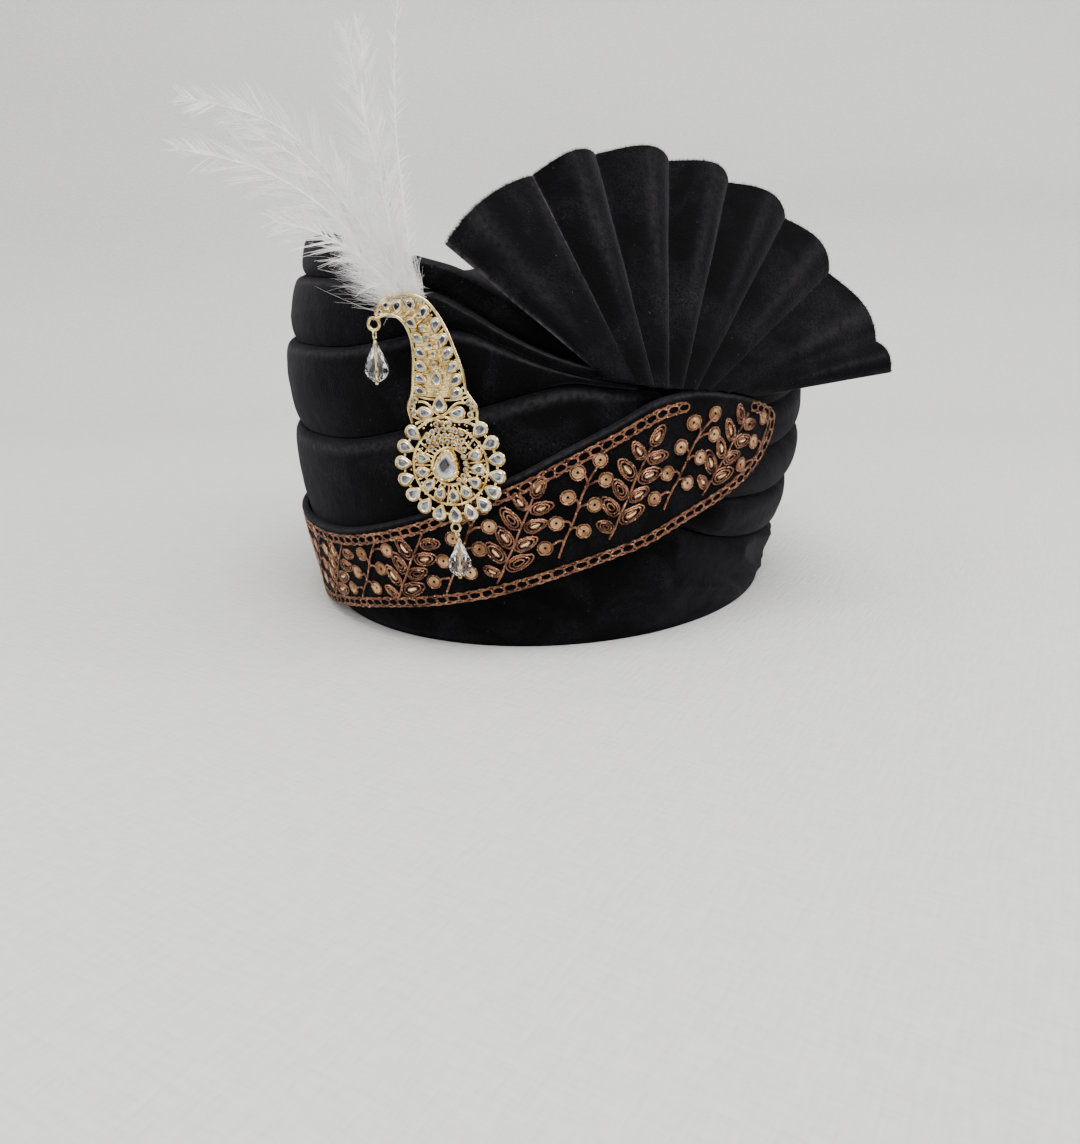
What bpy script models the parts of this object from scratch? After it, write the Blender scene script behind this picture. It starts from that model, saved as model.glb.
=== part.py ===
"""A tied velvet turban with a pleated fan, an embroidered band and a jewelled plume brooch.

Metres, +Z up. The origin is the centre of the head opening on the plane that the rim rests on.
-Y is the wearer's front and +X the wearer's left, where the fan stands.
Azimuths are degrees from the front towards the wearer's left.
"""

import math
from collections import namedtuple

import bmesh
import bpy
from mathutils import Matrix, Vector

# Head opening and the wound body
HEAD_WIDTH = 0.172
HEAD_LENGTH = 0.200
CAP_WALL = 0.0030
CROWN_HEIGHT = 0.130
BODY_HEIGHT = 0.143
WRAP_BUILD = 0.0180
COLLAR_DEPTH = 0.008
LAP_STEP = 0.003
ROLL_NOTCH = 0.006
END_TUCK = 0.006
WRAP_EDGE = 0.001
PIECE_GAP = 0.0004

# The rim wrap's rounded edges, as a share of the lap step
RIM_ROUNDING = 0.4

# Embroidered band
BAND_WALL = 0.0020

# Pleated fan
FAN_LENGTH = 0.088
FAN_WALL = 0.0016
FAN_PLEAT_DEPTH = 0.0056
FAN_FACING = 55.0
FAN_LEAN = 25.0
FAN_FOOT_AZIMUTH = 58.0
FAN_FOOT_HEIGHT = 0.647 * BODY_HEIGHT
FAN_FOOT_DEPTH_SHARE = 0.16

# Brooch
BROOCH_FACING = 14.7
BROOCH_SIDE = -0.0036
BROOCH_HEIGHT = 0.4846 * BODY_HEIGHT
ROUND_RADIUS = 0.0195
NECK_LENGTH = 0.0345
SETTING_DEPTH = 0.0014
STONE_RISE = 0.0007
TABLE_SHARE = 0.55
WIRE_RADIUS = 0.00055
WIRE_LEVEL = WIRE_RADIUS * 1.1
PIN_BAR_DEPTH = 0.0015
PIN_BAR_WIDTH = 0.0024
PIN_BAR_LENGTH = 0.0340
PIN_BAR_ACROSS = -0.0013
PIN_BAR_UP = 0.0110
CENTRE_LENGTH = 0.0100
CENTRE_WIDTH = 0.0074
CENTRE_ACROSS = -0.0008
CENTRE_UP = 0.0006
CENTRE_RISE = 0.0022
COLLET_WALL = 0.0007

# Drops that hang from the brooch
EYE_RADIUS = 0.0021
LOOP_RADIUS = 0.0015
LOOP_WIRE = 0.0004
DROP_WIDTH = 0.0080
DROP_LENGTH = 0.0122
STEM_RADIUS = 0.0004
HANG_GAP = 0.0003
BORE_GAP = 0.0004
LOWER_NECK = 0.0012

# Plume
QUILL_RADIUS = 0.0016
QUILL_LENGTH = 0.0120
PLUME_HEIGHT = 0.083
LOCK_THICKNESS = 0.0016
HEAD_RADIUS = 0.0042
LOCK_SPREAD = 0.42
TIP_WIDTH_LOSS = 0.94
TIP_DEPTH_LOSS = 0.80

# Fineness of the faceted solids
TURN_STEPS = 40
AZIMUTH_STEP = 360 / TURN_STEPS
RING_SIDES = 12
WIRE_SIDES = 5
STONE_SIDES = 8
STEM_SIDES = 8
COLLET_SIDES = 14
CENTRE_SIDES = 12
RAIL_STEPS = 10

# The body's silhouette: how far the wraps stand out from the head opening at each height
Barrel = namedtuple("Barrel", "height build")
BARREL = (
    Barrel(0.00, 0.38),
    Barrel(0.07, 0.47),
    Barrel(0.16, 0.62),
    Barrel(0.28, 0.80),
    Barrel(0.42, 0.94),
    Barrel(0.56, 1.00),
    Barrel(0.70, 1.00),
    Barrel(0.84, 0.80),
    Barrel(1.00, 0.40),
)

# The cap under the wraps, as shares of the crown's height and of the opening
Dome = namedtuple("Dome", "height width")
DOME = (
    Dome(0.00, 1.000),
    Dome(0.30, 1.000),
    Dome(0.62, 1.000),
    Dome(0.76, 0.975),
    Dome(0.86, 0.900),
    Dome(0.93, 0.770),
    Dome(0.975, 0.560),
    Dome(0.995, 0.300),
)

# Seams between the wraps round a whole turn, as shares of the body's height.
# hem is the rim wrap's upper edge, foot the first wrap's lower edge, ridge the top of the third
# and top the fourth's fold. roundness is 0 for the flat laps in front, 1 for full rolls behind.
Seam = namedtuple("Seam", "azimuth hem foot first second ridge top roundness")
SEAMS = (
    Seam(-304, 0.310, 0.318, 0.364, 0.470, 0.560, 0.620, 0.7),
    Seam(-290, 0.240, 0.243, 0.343, 0.460, 0.572, 0.645, 0.9),
    Seam(-270, 0.186, 0.189, 0.315, 0.448, 0.566, 0.685, 1.0),
    Seam(-240, 0.168, 0.172, 0.343, 0.490, 0.610, 0.745, 1.0),
    Seam(-180, 0.150, 0.154, 0.406, 0.576, 0.710, 0.835, 1.0),
    Seam(-120, 0.134, 0.140, 0.470, 0.650, 0.780, 0.885, 0.8),
    Seam(-60, 0.134, 0.140, 0.503, 0.727, 0.888, 1.000, 0.3),
    Seam(-35, 0.138, 0.147, 0.503, 0.727, 0.892, 1.000, 0.1),
    Seam(-10, 0.160, 0.175, 0.517, 0.738, 0.888, 0.972, 0.0),
    Seam(10, 0.205, 0.231, 0.577, 0.783, 0.867, 0.930, 0.0),
    Seam(17, 0.225, 0.259, 0.605, 0.783, 0.828, 0.902, 0.0),
    Seam(24, 0.245, 0.301, 0.633, 0.748, 0.780, 0.860, 0.0),
    Seam(30, 0.262, 0.336, 0.655, 0.715, 0.744, 0.818, 0.0),
    Seam(36, 0.278, 0.378, 0.668, 0.690, 0.716, 0.783, 0.0),
    Seam(43, 0.292, 0.420, 0.655, 0.670, 0.692, 0.745, 0.0),
    Seam(58, 0.310, 0.517, 0.628, 0.640, 0.660, 0.690, 0.2),
)

# Each wrap's two seams, the azimuths between which it runs, going round by the back,
# and how far it sinks in at its start, as a share of the end tuck, over how many degrees
Wrap = namedtuple("Wrap", "name lower upper start end start_sink sinks_over")
WRAPS = (
    Wrap("wrap_1", "foot", "first", 54, -303, 0.8, 12),
    Wrap("wrap_2", "first", "second", 48, -303, 0.3, 12),
    Wrap("wrap_3", "second", "ridge", 50, -300, 0.3, 12),
    Wrap("wrap_4", "ridge", "top", 52, -300, 1.0, 60),
)
END_SINKS_OVER = 14.0
RIM_EASE = 0.75

# A wrap's outer face from its lower to its upper seam: the recess at each share of its height
Fold = namedtuple("Fold", "up lap roll")
FOLDS = (
    Fold(0.00, 1.00, 1.00),
    Fold(0.05, 0.80, 0.60),
    Fold(0.18, 0.45, 0.22),
    Fold(0.38, 0.20, 0.04),
    Fold(0.62, 0.04, 0.00),
    Fold(0.84, 0.00, 0.14),
    Fold(0.95, 0.16, 0.50),
    Fold(1.00, 0.75, 1.00),
)

# The band's two edges, as shares of the body's height
BandEdge = namedtuple("BandEdge", "azimuth lower upper")
BAND_EDGES = (
    BandEdge(-172, 0.350, 0.400),
    BandEdge(-164, 0.260, 0.395),
    BandEdge(-150, 0.150, 0.372),
    BandEdge(-120, 0.060, 0.315),
    BandEdge(-90, 0.026, 0.284),
    BandEdge(-60, 0.012, 0.268),
    BandEdge(-31, 0.012, 0.268),
    BandEdge(-15, 0.050, 0.280),
    BandEdge(-4, 0.081, 0.311),
    BandEdge(7, 0.108, 0.357),
    BandEdge(17, 0.136, 0.413),
    BandEdge(26, 0.168, 0.465),
    BandEdge(34, 0.203, 0.520),
    BandEdge(42.5, 0.238, 0.575),
    BandEdge(51, 0.273, 0.629),
    BandEdge(59, 0.322, 0.641),
    BandEdge(67, 0.364, 0.625),
    BandEdge(74.5, 0.416, 0.600),
    BandEdge(78.5, 0.469, 0.580),
    BandEdge(80.5, 0.520, 0.564),
)

# The fan's valleys: direction in the fan's plane, length, where its foot stands from the middle,
# how deep the pleats are there, and how far the next pleat's crest leans to the right
Valley = namedtuple("Valley", "angle length foot_azimuth foot_rise depth lean")
VALLEYS = (
    Valley(-56.4, 1.058, -16.5, 0.062, 0.55, 0.6),
    Valley(-30.0, 0.986, -11.5, 0.036, 0.85, 1.3),
    Valley(-12.5, 0.975, -8.2, 0.022, 1.00, 1.6),
    Valley(6.9, 0.943, -5.4, 0.012, 1.00, 1.6),
    Valley(24.0, 0.936, -2.6, 0.006, 1.00, 1.4),
    Valley(41.8, 0.947, 0.4, 0.000, 1.00, 1.4),
    Valley(59.7, 0.922, 3.4, -0.008, 0.90, 1.6),
    Valley(81.1, 0.977, 8.0, -0.022, 0.55, 1.0),
    Valley(88.9, 1.009, 15.0, -0.050, 0.35, 1.0),
)
PLEAT_CREST = 1.006
PLEAT_SAMPLES = 6
FAN_ROWS = 6

# Rings of stones in the brooch's round part. Angles in degrees from straight down towards the
# viewer's right; sizes as shares of the round part's radius
StoneRing = namedtuple("StoneRing", "count first_angle last_angle radius length width outline")
STONE_RINGS = (
    StoneRing(15, -130, 140, 0.855, 0.300, 0.245, "pear"),
    StoneRing(9, -104, 116, 0.500, 0.235, 0.200, "pear"),
    StoneRing(7, 132, 228, 0.600, 0.200, 0.200, "oval"),
)

# Single leaf-shaped stones at the neck's foot, as shares of the round part's radius
Leaf = namedtuple("Leaf", "across up length width turn")
LEAVES = (
    Leaf(-0.39, 0.88, 0.34, 0.21, -80),
    Leaf(0.23, 0.88, 0.34, 0.21, 80),
)

# Spokes that carry the rings and the centre stone's collet, from and to shares of the radius
Spokes = namedtuple("Spokes", "count first_angle start end")
SPOKES = (
    Spokes(6, 30, 0.46, 0.88),
    Spokes(4, 45, 0.10, 0.52),
)

# The brooch's neck, as shares of the round part's radius: the middle line and half its width
NeckLine = namedtuple("NeckLine", "across up half")
NECK_LINE = (
    NeckLine(-0.05, 0.80, 0.60),
    NeckLine(-0.10, 1.22, 0.43),
    NeckLine(-0.14, 1.60, 0.36),
    NeckLine(-0.22, 1.95, 0.31),
    NeckLine(-0.38, 2.27, 0.27),
    NeckLine(-0.64, 2.50, 0.21),
    NeckLine(-0.92, 2.50, 0.12),
    NeckLine(-1.10, 2.38, 0.05),
)

# Stones along the neck: place along the line, side, length, width and turn in degrees
NeckStone = namedtuple("NeckStone", "along side length width turn")
NECK_STONES = (
    NeckStone(0.13, 0.00, 0.29, 0.20, 0),
    NeckStone(0.19, -0.74, 0.22, 0.15, 40),
    NeckStone(0.19, 0.74, 0.22, 0.15, -40),
    NeckStone(0.29, -0.70, 0.21, 0.14, 35),
    NeckStone(0.29, 0.70, 0.21, 0.14, -35),
    NeckStone(0.32, 0.00, 0.25, 0.17, 0),
    NeckStone(0.39, -0.68, 0.21, 0.14, 30),
    NeckStone(0.39, 0.68, 0.21, 0.14, -30),
    NeckStone(0.49, -0.64, 0.21, 0.13, 30),
    NeckStone(0.49, 0.64, 0.21, 0.13, -30),
    NeckStone(0.59, -0.60, 0.20, 0.13, 25),
    NeckStone(0.59, 0.60, 0.20, 0.13, -25),
    NeckStone(0.69, -0.56, 0.18, 0.12, 20),
    NeckStone(0.69, 0.56, 0.19, 0.12, -20),
    NeckStone(0.79, 0.00, 0.18, 0.14, 0),
    NeckStone(0.88, 0.00, 0.15, 0.11, 0),
)

# Cross wires of the neck, as shares of its length
RUNGS = (0.06, 0.26, 0.45, 0.66, 0.84)

# Locks of the plume: lean at the root and tip (degrees to the wearer's right of upright),
# length and width as shares of the plume's height, and the forward lean at the tip
Lock = namedtuple("Lock", "root_lean tip_lean length width forward")
LOCKS = (
    Lock(-16, -20, 0.40, 0.12, 14),
    Lock(-5, -6, 1.12, 0.10, 6),
    Lock(6, 10, 0.97, 0.15, 13),
    Lock(20, 32, 0.90, 0.16, 5),
    Lock(36, 60, 1.12, 0.16, 11),
    Lock(50, 76, 0.98, 0.14, 7),
    Lock(64, 82, 0.50, 0.13, 15),
    Lock(80, 96, 0.38, 0.12, 22),
    Lock(96, 112, 0.30, 0.11, 28),
)
LOCK_STEPS = 6

# A drop bead's outer line: radius and height as shares of its half width and its length
Waist = namedtuple("Waist", "radius height")
DROP_PROFILE = (
    Waist(0.30, 0.00),
    Waist(0.78, 0.10),
    Waist(1.00, 0.30),
    Waist(0.90, 0.48),
    Waist(0.55, 0.76),
    Waist(0.26, 1.00),
)

# The centre stone's levels: size and rise as shares of its outline and its height
Level = namedtuple("Level", "size rise")
CENTRE_LEVELS = (
    Level(0.92, 0.00),
    Level(1.00, 0.25),
    Level(0.82, 0.65),
    Level(0.55, 1.00),
)

VELVET_BLACK = (0.010, 0.010, 0.012, 1.0)
CAP_BLACK = (0.012, 0.012, 0.013, 1.0)
BAND_COPPER = (0.16, 0.085, 0.045, 1.0)
PALE_GOLD = (0.86, 0.69, 0.38, 1.0)
CLEAR_CRYSTAL = (0.90, 0.92, 0.94, 1.0)
FEATHER_WHITE = (0.90, 0.90, 0.88, 1.0)


def clear_scene():
    """Remove every object that the file opened with."""
    for old in list(bpy.data.objects):
        bpy.data.objects.remove(old, do_unlink=True)


def surface(name, colour, roughness, metallic=0.0):
    """A plain surface in one colour."""
    material = bpy.data.materials.new(name)
    material.use_nodes = True
    shader = material.node_tree.nodes["Principled BSDF"]
    shader.inputs["Base Color"].default_value = colour
    shader.inputs["Roughness"].default_value = roughness
    shader.inputs["Metallic"].default_value = metallic
    return material


def curve(rows, key, column, at):
    """A smooth value through a table's rows, which rise in their key column."""
    keys = [getattr(row, key) for row in rows]
    values = [getattr(row, column) for row in rows]
    at = min(max(at, keys[0]), keys[-1])
    last = len(keys) - 2
    i = next((k for k in range(last) if at < keys[k + 1]), last)

    def slope(k):
        low, high = max(k - 1, 0), min(k + 1, len(keys) - 1)
        return (values[high] - values[low]) / (keys[high] - keys[low])

    span = keys[i + 1] - keys[i]
    t = (at - keys[i]) / span
    rise = (2 * t**3 - 3 * t**2 + 1) * values[i] + (3 * t**2 - 2 * t**3) * values[i + 1]
    return rise + span * ((t**3 - 2 * t**2 + t) * slope(i) + (t**3 - t**2) * slope(i + 1))


def ease(t):
    """A soft step from 0 to 1."""
    t = min(max(t, 0.0), 1.0)
    return t * t * (3 - 2 * t)


def place(azimuth, build, height, squeeze=1.0):
    """The point at an azimuth that stands out by build from the opening's oval."""
    turn = math.radians(azimuth)
    across = HEAD_WIDTH / 2 * squeeze + build
    along = HEAD_LENGTH / 2 * squeeze + build
    return Vector((across * math.sin(turn), -along * math.cos(turn), height))


def barrel_build(height):
    """How far the body's silhouette stands out from the opening at a height."""
    return WRAP_BUILD * curve(BARREL, "height", "build", height / BODY_HEIGHT)


def cap_build(height):
    """How far the cap stands out from the opening at a height, least where it closes on top."""
    width = curve(DOME, "height", "width", height / CROWN_HEIGHT)
    return CAP_WALL + (width - 1) * HEAD_WIDTH / 2


def seam_height(line, azimuth):
    """A seam's height at an azimuth between -304 and 58."""
    return BODY_HEIGHT * curve(SEAMS, "azimuth", line, azimuth)


def azimuths_between(start, end):
    """The shared azimuth samples from start down to end, with both ends."""
    inner = [k * AZIMUTH_STEP for k in range(-TURN_STEPS, TURN_STEPS)]
    margin = AZIMUTH_STEP / 6
    kept = [a for a in inner if end + margin < a < start - margin]
    return [end] + kept + [start]


def new_object(name, bm, material, smooth=True):
    """An object from a bmesh, with its faces pointing out."""
    bmesh.ops.recalc_face_normals(bm, faces=bm.faces)
    mesh = bpy.data.meshes.new(name)
    bm.to_mesh(mesh)
    bm.free()
    if smooth:
        mesh.shade_smooth()
        mesh.set_sharp_from_angle(angle=math.radians(50))
    made = bpy.data.objects.new(name, mesh)
    made.data.materials.append(material)
    bpy.context.collection.objects.link(made)
    return made


def add_loft(bm, sections, closed=False):
    """Skin a row of equal closed sections, capping both ends unless the row is closed."""
    rings = [[bm.verts.new(point) for point in section] for section in sections]
    count = len(rings[0])
    pairs = list(zip(rings, rings[1:]))
    if closed:
        pairs.append((rings[-1], rings[0]))
    for ring, following in pairs:
        for k in range(count):
            after = (k + 1) % count
            bm.faces.new((ring[k], ring[after], following[after], following[k]))
    if not closed:
        bm.faces.new(rings[0])
        bm.faces.new(rings[-1])


def build_cap(material):
    """The cap: its side wall down to the rim, and the crown that closes it on top."""
    bm = bmesh.new()
    turns = [k * AZIMUTH_STEP for k in range(TURN_STEPS)]
    outer, inner = [], []
    for row in DOME:
        height = row.height * CROWN_HEIGHT
        outer.append([bm.verts.new(place(a, CAP_WALL, height, row.width)) for a in turns])
        lower = height * (CROWN_HEIGHT - CAP_WALL) / CROWN_HEIGHT
        inner.append([bm.verts.new(place(a, 0.0, lower, row.width)) for a in turns])
    count = len(turns)
    for wall in (outer, inner):
        for ring, above in zip(wall, wall[1:]):
            for k in range(count):
                after = (k + 1) % count
                bm.faces.new((ring[k], ring[after], above[after], above[k]))
    for wall, top in ((outer, CROWN_HEIGHT), (inner, CROWN_HEIGHT - CAP_WALL)):
        apex = bm.verts.new((0, 0, top))
        for k in range(count):
            bm.faces.new((wall[-1][k], wall[-1][(k + 1) % count], apex))
    for k in range(count):
        after = (k + 1) % count
        bm.faces.new((outer[0][k], outer[0][after], inner[0][after], inner[0][k]))
    return new_object("cap", bm, material)


def wrap_section(wrap, azimuth):
    """A wrap's closed section: its folded outer face, and its plain inner face on the cap."""
    low = seam_height(wrap.lower, azimuth) + PIECE_GAP / 2
    high = seam_height(wrap.upper, azimuth) - PIECE_GAP / 2
    roundness = curve(SEAMS, "azimuth", "roundness", azimuth)
    start_sink = wrap.start_sink * (1 - ease((wrap.start - azimuth) / wrap.sinks_over))
    end_sink = 1 - ease((azimuth - wrap.end) / END_SINKS_OVER)
    tuck = END_TUCK * max(start_sink, end_sink)

    def inner_build(height):
        collar = min(CAP_WALL, barrel_build(height) - COLLAR_DEPTH - tuck)
        return max(cap_build(height), collar) + PIECE_GAP

    points = []
    for fold in FOLDS:
        height = low + fold.up * (high - low)
        lap = LAP_STEP * fold.lap * (1 - roundness)
        roll = ROLL_NOTCH * fold.roll * roundness
        build = max(barrel_build(height) - lap - roll - tuck, inner_build(height) + WRAP_EDGE)
        points.append(place(azimuth, build, height))
    for height in (high, low):
        points.append(place(azimuth, inner_build(height), height))
    return points


def build_wrap(wrap, material):
    """One turn of wound velvet, from beside the fan's foot round by the back to under the band."""
    bm = bmesh.new()
    add_loft(bm, [wrap_section(wrap, a) for a in azimuths_between(wrap.start, wrap.end)])
    return new_object(wrap.name, bm, material)


def rim_section(azimuth):
    """The rim wrap's closed section, flat below where the turban rests."""
    high = seam_height("hem", azimuth) - PIECE_GAP / 2
    inner = CAP_WALL + PIECE_GAP
    points = []
    for share in (0.0, 0.12, 0.45, 0.85, 1.0):
        height = share * high
        edge = LAP_STEP * RIM_ROUNDING * abs(2 * share - 1) ** 6
        build = max(barrel_build(height) * RIM_EASE - edge, inner + WRAP_EDGE)
        points.append(place(azimuth, build, height))
    points.append(place(azimuth, inner, high))
    points.append(place(azimuth, inner, 0.0))
    return points


def build_rim_wrap(material):
    """The lowest turn of velvet, a closed ring round the rim."""
    bm = bmesh.new()
    first = AZIMUTH_STEP * int(SEAMS[-1].azimuth / AZIMUTH_STEP)
    add_loft(bm, [rim_section(first - k * AZIMUTH_STEP) for k in range(TURN_STEPS)], closed=True)
    return new_object("rim_wrap", bm, material)


def build_band(material):
    """The embroidered border band, which lies on the lowest wrap and tapers under at both ends."""
    bm = bmesh.new()
    inner = PIECE_GAP
    outer = PIECE_GAP + BAND_WALL
    shares = (0.0, 0.25, 0.5, 0.75, 1.0)
    sections = []
    first, last = BAND_EDGES[0].azimuth, BAND_EDGES[-1].azimuth
    for azimuth in azimuths_between(last, first):
        low = BODY_HEIGHT * curve(BAND_EDGES, "azimuth", "lower", azimuth)
        high = BODY_HEIGHT * curve(BAND_EDGES, "azimuth", "upper", azimuth)
        section = []
        for share in shares:
            height = low + share * (high - low)
            section.append(place(azimuth, barrel_build(height) + outer, height))
        for share in reversed(shares):
            height = low + share * (high - low)
            section.append(place(azimuth, barrel_build(height) + inner, height))
        sections.append(section)
    add_loft(bm, sections)
    return new_object("border_band", bm, material)


def fan_axes():
    """The fan's plane: its middle foot point, and the directions right, up and out."""
    facing, lean = math.radians(FAN_FACING), math.radians(FAN_LEAN)
    right = Vector((math.cos(facing), math.sin(facing), 0))
    out = Vector((math.sin(facing) * math.cos(lean), -math.cos(facing) * math.cos(lean), math.sin(lean)))
    up = out.cross(right)
    foot = place(FAN_FOOT_AZIMUTH, barrel_build(FAN_FOOT_HEIGHT), FAN_FOOT_HEIGHT)
    return foot, right, up, out


def fan_point(position, share):
    """A point of the fan: position counts valleys from the left edge, share goes foot to rim."""
    whole = min(int(position), len(VALLEYS) - 2)
    part = position - whole
    left, right_row = VALLEYS[whole], VALLEYS[whole + 1]

    def blend(column):
        return getattr(left, column) * (1 - part) + getattr(right_row, column) * part

    foot, right, up, out = fan_axes()
    crest = math.sin(math.pi * part**left.lean)
    angle = math.radians(blend("angle"))
    length = FAN_LENGTH * blend("length") * (1 + (PLEAT_CREST - 1) * crest)
    rim = foot + length * (math.sin(angle) * right + math.cos(angle) * up)
    height = FAN_FOOT_HEIGHT + FAN_LENGTH * blend("foot_rise")
    stand_off = PIECE_GAP + (FAN_WALL + FAN_PLEAT_DEPTH * FAN_FOOT_DEPTH_SHARE) / 2
    start = place(FAN_FOOT_AZIMUTH + blend("foot_azimuth"), barrel_build(height) + stand_off, height)
    depth = FAN_PLEAT_DEPTH * (FAN_FOOT_DEPTH_SHARE + (blend("depth") - FAN_FOOT_DEPTH_SHARE) * share)
    return start.lerp(rim, share) + out * depth * (crest**0.8 - 0.5)


def build_fan(material):
    """The fan of pleated velvet: broad pleats between sharp valleys, gathered at the foot."""
    bm = bmesh.new()
    columns = (len(VALLEYS) - 1) * PLEAT_SAMPLES
    grid = []
    for row in range(FAN_ROWS + 1):
        share = row / FAN_ROWS
        line = [bm.verts.new(fan_point(k / PLEAT_SAMPLES, share)) for k in range(columns + 1)]
        grid.append(line)
    for low, high in zip(grid, grid[1:]):
        for k in range(columns):
            bm.faces.new((low[k], low[k + 1], high[k + 1], high[k]))
    fan = new_object("fan", bm, material)
    wall = fan.modifiers.new("wall", "SOLIDIFY")
    wall.thickness = FAN_WALL
    wall.offset = 0.0
    wall.use_even_offset = False
    return fan


def brooch_frame():
    """The brooch's frame: X to the viewer's right, Y up, Z out of the cloth; its back lies at Z 0."""
    facing = math.radians(BROOCH_FACING)
    out = Vector((math.sin(facing), -math.cos(facing), 0))
    right = Vector((math.cos(facing), math.sin(facing), 0))
    half_width = HEAD_WIDTH / 2 + WRAP_BUILD
    half_length = HEAD_LENGTH / 2 + WRAP_BUILD
    reach = math.hypot(half_width * math.sin(facing), half_length * math.cos(facing))
    centre = out * (reach + PIECE_GAP + PIN_BAR_DEPTH) + right * BROOCH_SIDE
    centre.z = BROOCH_HEIGHT
    frame = Matrix((right, Vector((0, 0, 1)), out)).transposed().to_4x4()
    return Matrix.Translation(centre) @ frame


def stone_outline(length, width, sides, kind="pear"):
    """A stone's outline round its middle: an oval, or a pear with its point up."""
    points = []
    for k in range(sides):
        t = 2 * math.pi * k / sides
        fullness = 1.0 if kind == "oval" else 0.55 + 0.62 * math.sin(t / 2) ** 2
        points.append(Vector((width / 2 * math.sin(t) * fullness, length / 2 * math.cos(t))))
    return points


def add_stone(bm, outline, across, up, turn):
    """A cut stone in its collet: a straight girdle, a ring of crown facets and a table."""
    c, s = math.cos(turn), math.sin(turn)

    def level(share, height):
        return [
            Vector((across + share * (p.x * c - p.y * s), up + share * (p.x * s + p.y * c), height))
            for p in outline
        ]

    add_loft(bm, [
        level(1.0, 0.0),
        level(1.0, SETTING_DEPTH),
        level(TABLE_SHARE, SETTING_DEPTH + STONE_RISE),
    ])


def add_wire(bm, points, radius, closed=False):
    """A round wire along points that lie in the brooch's plane."""
    sections = []
    count = len(points)
    for k, point in enumerate(points):
        if closed:
            along = points[(k + 1) % count] - points[k - 1]
        else:
            along = points[min(k + 1, count - 1)] - points[max(k - 1, 0)]
        side = Vector((-along.y, along.x, 0)).normalized()
        section = []
        for i in range(WIRE_SIDES):
            t = 2 * math.pi * (i + 0.5) / WIRE_SIDES
            section.append(point + radius * (math.cos(t) * side + math.sin(t) * Vector((0, 0, 1))))
        sections.append(section)
    add_loft(bm, sections, closed)


def direction_at(angle):
    """The direction in the brooch's plane at an angle from straight down to the viewer's right."""
    turn = math.radians(angle)
    return Vector((math.sin(turn), -math.cos(turn), 0))


def ring_points(radius, across, up, sides):
    """Points round a circle in the brooch's plane, at the level of its wires."""
    centre = Vector((across, up, WIRE_LEVEL))
    return [centre + radius * direction_at(360 * k / sides) for k in range(sides)]


def neck_at(share):
    """The neck's middle line at a share of its length: point, direction and half width."""
    rows = len(NECK_LINE) - 1
    place_along = min(max(share, 0.0), 1.0) * rows
    k = min(int(place_along), rows - 1)

    def value(column, i):
        picked = [getattr(NECK_LINE[min(max(j, 0), rows)], column) for j in (i - 1, i, i + 1, i + 2)]
        t = place_along - i
        a, b, c, d = picked
        return 0.5 * (2 * b + (c - a) * t + (2 * a - 5 * b + 4 * c - d) * t**2
                      + (3 * b - a - 3 * c + d) * t**3)

    base_up = NECK_LINE[0].up * ROUND_RADIUS
    stretch = NECK_LENGTH / (ROUND_RADIUS * (max(row.up for row in NECK_LINE) - NECK_LINE[0].up))
    up = base_up + (value("up", k) * ROUND_RADIUS - base_up) * stretch
    return Vector((value("across", k) * ROUND_RADIUS, up, 0)), value("half", k) * ROUND_RADIUS


def neck_direction(share):
    """The neck's unit direction at a share of its length."""
    step = 0.02
    return (neck_at(share + step)[0] - neck_at(share - step)[0]).normalized()


def beside_neck(share, side):
    """A point beside the neck's middle line, side being a share of its half width."""
    point, half = neck_at(share)
    direction = neck_direction(share)
    return point + Vector((direction.y, -direction.x, 0)) * half * side


def add_round_part(bm):
    """The brooch's round part: rings of stones round the centre stone's plate, and two leaves."""
    for ring in STONE_RINGS:
        outline = stone_outline(
            ROUND_RADIUS * ring.length, ROUND_RADIUS * ring.width, STONE_SIDES, ring.outline)
        for k in range(ring.count):
            share = k / (ring.count - 1)
            angle = ring.first_angle + (ring.last_angle - ring.first_angle) * share
            centre = direction_at(angle) * ring.radius * ROUND_RADIUS
            add_stone(bm, outline, centre.x, centre.y, math.radians(angle))
    for leaf in LEAVES:
        outline = stone_outline(ROUND_RADIUS * leaf.length, ROUND_RADIUS * leaf.width, STONE_SIDES)
        turn = math.radians(leaf.turn)
        add_stone(bm, outline, leaf.across * ROUND_RADIUS, leaf.up * ROUND_RADIUS, turn)
    plate = stone_outline(CENTRE_LENGTH + 2 * COLLET_WALL, CENTRE_WIDTH + 2 * COLLET_WALL, COLLET_SIDES)
    add_plate(bm, plate, CENTRE_ACROSS, CENTRE_UP, 0.0, SETTING_DEPTH)


def add_neck_stones(bm):
    """The stones along the neck: one row in the middle and one along each edge."""
    for row in NECK_STONES:
        direction = neck_direction(row.along)
        centre = beside_neck(row.along, row.side)
        turn = math.atan2(-direction.x, direction.y) + math.radians(row.turn)
        outline = stone_outline(row.length * ROUND_RADIUS, row.width * ROUND_RADIUS, STONE_SIDES)
        add_stone(bm, outline, centre.x, centre.y, turn)


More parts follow.
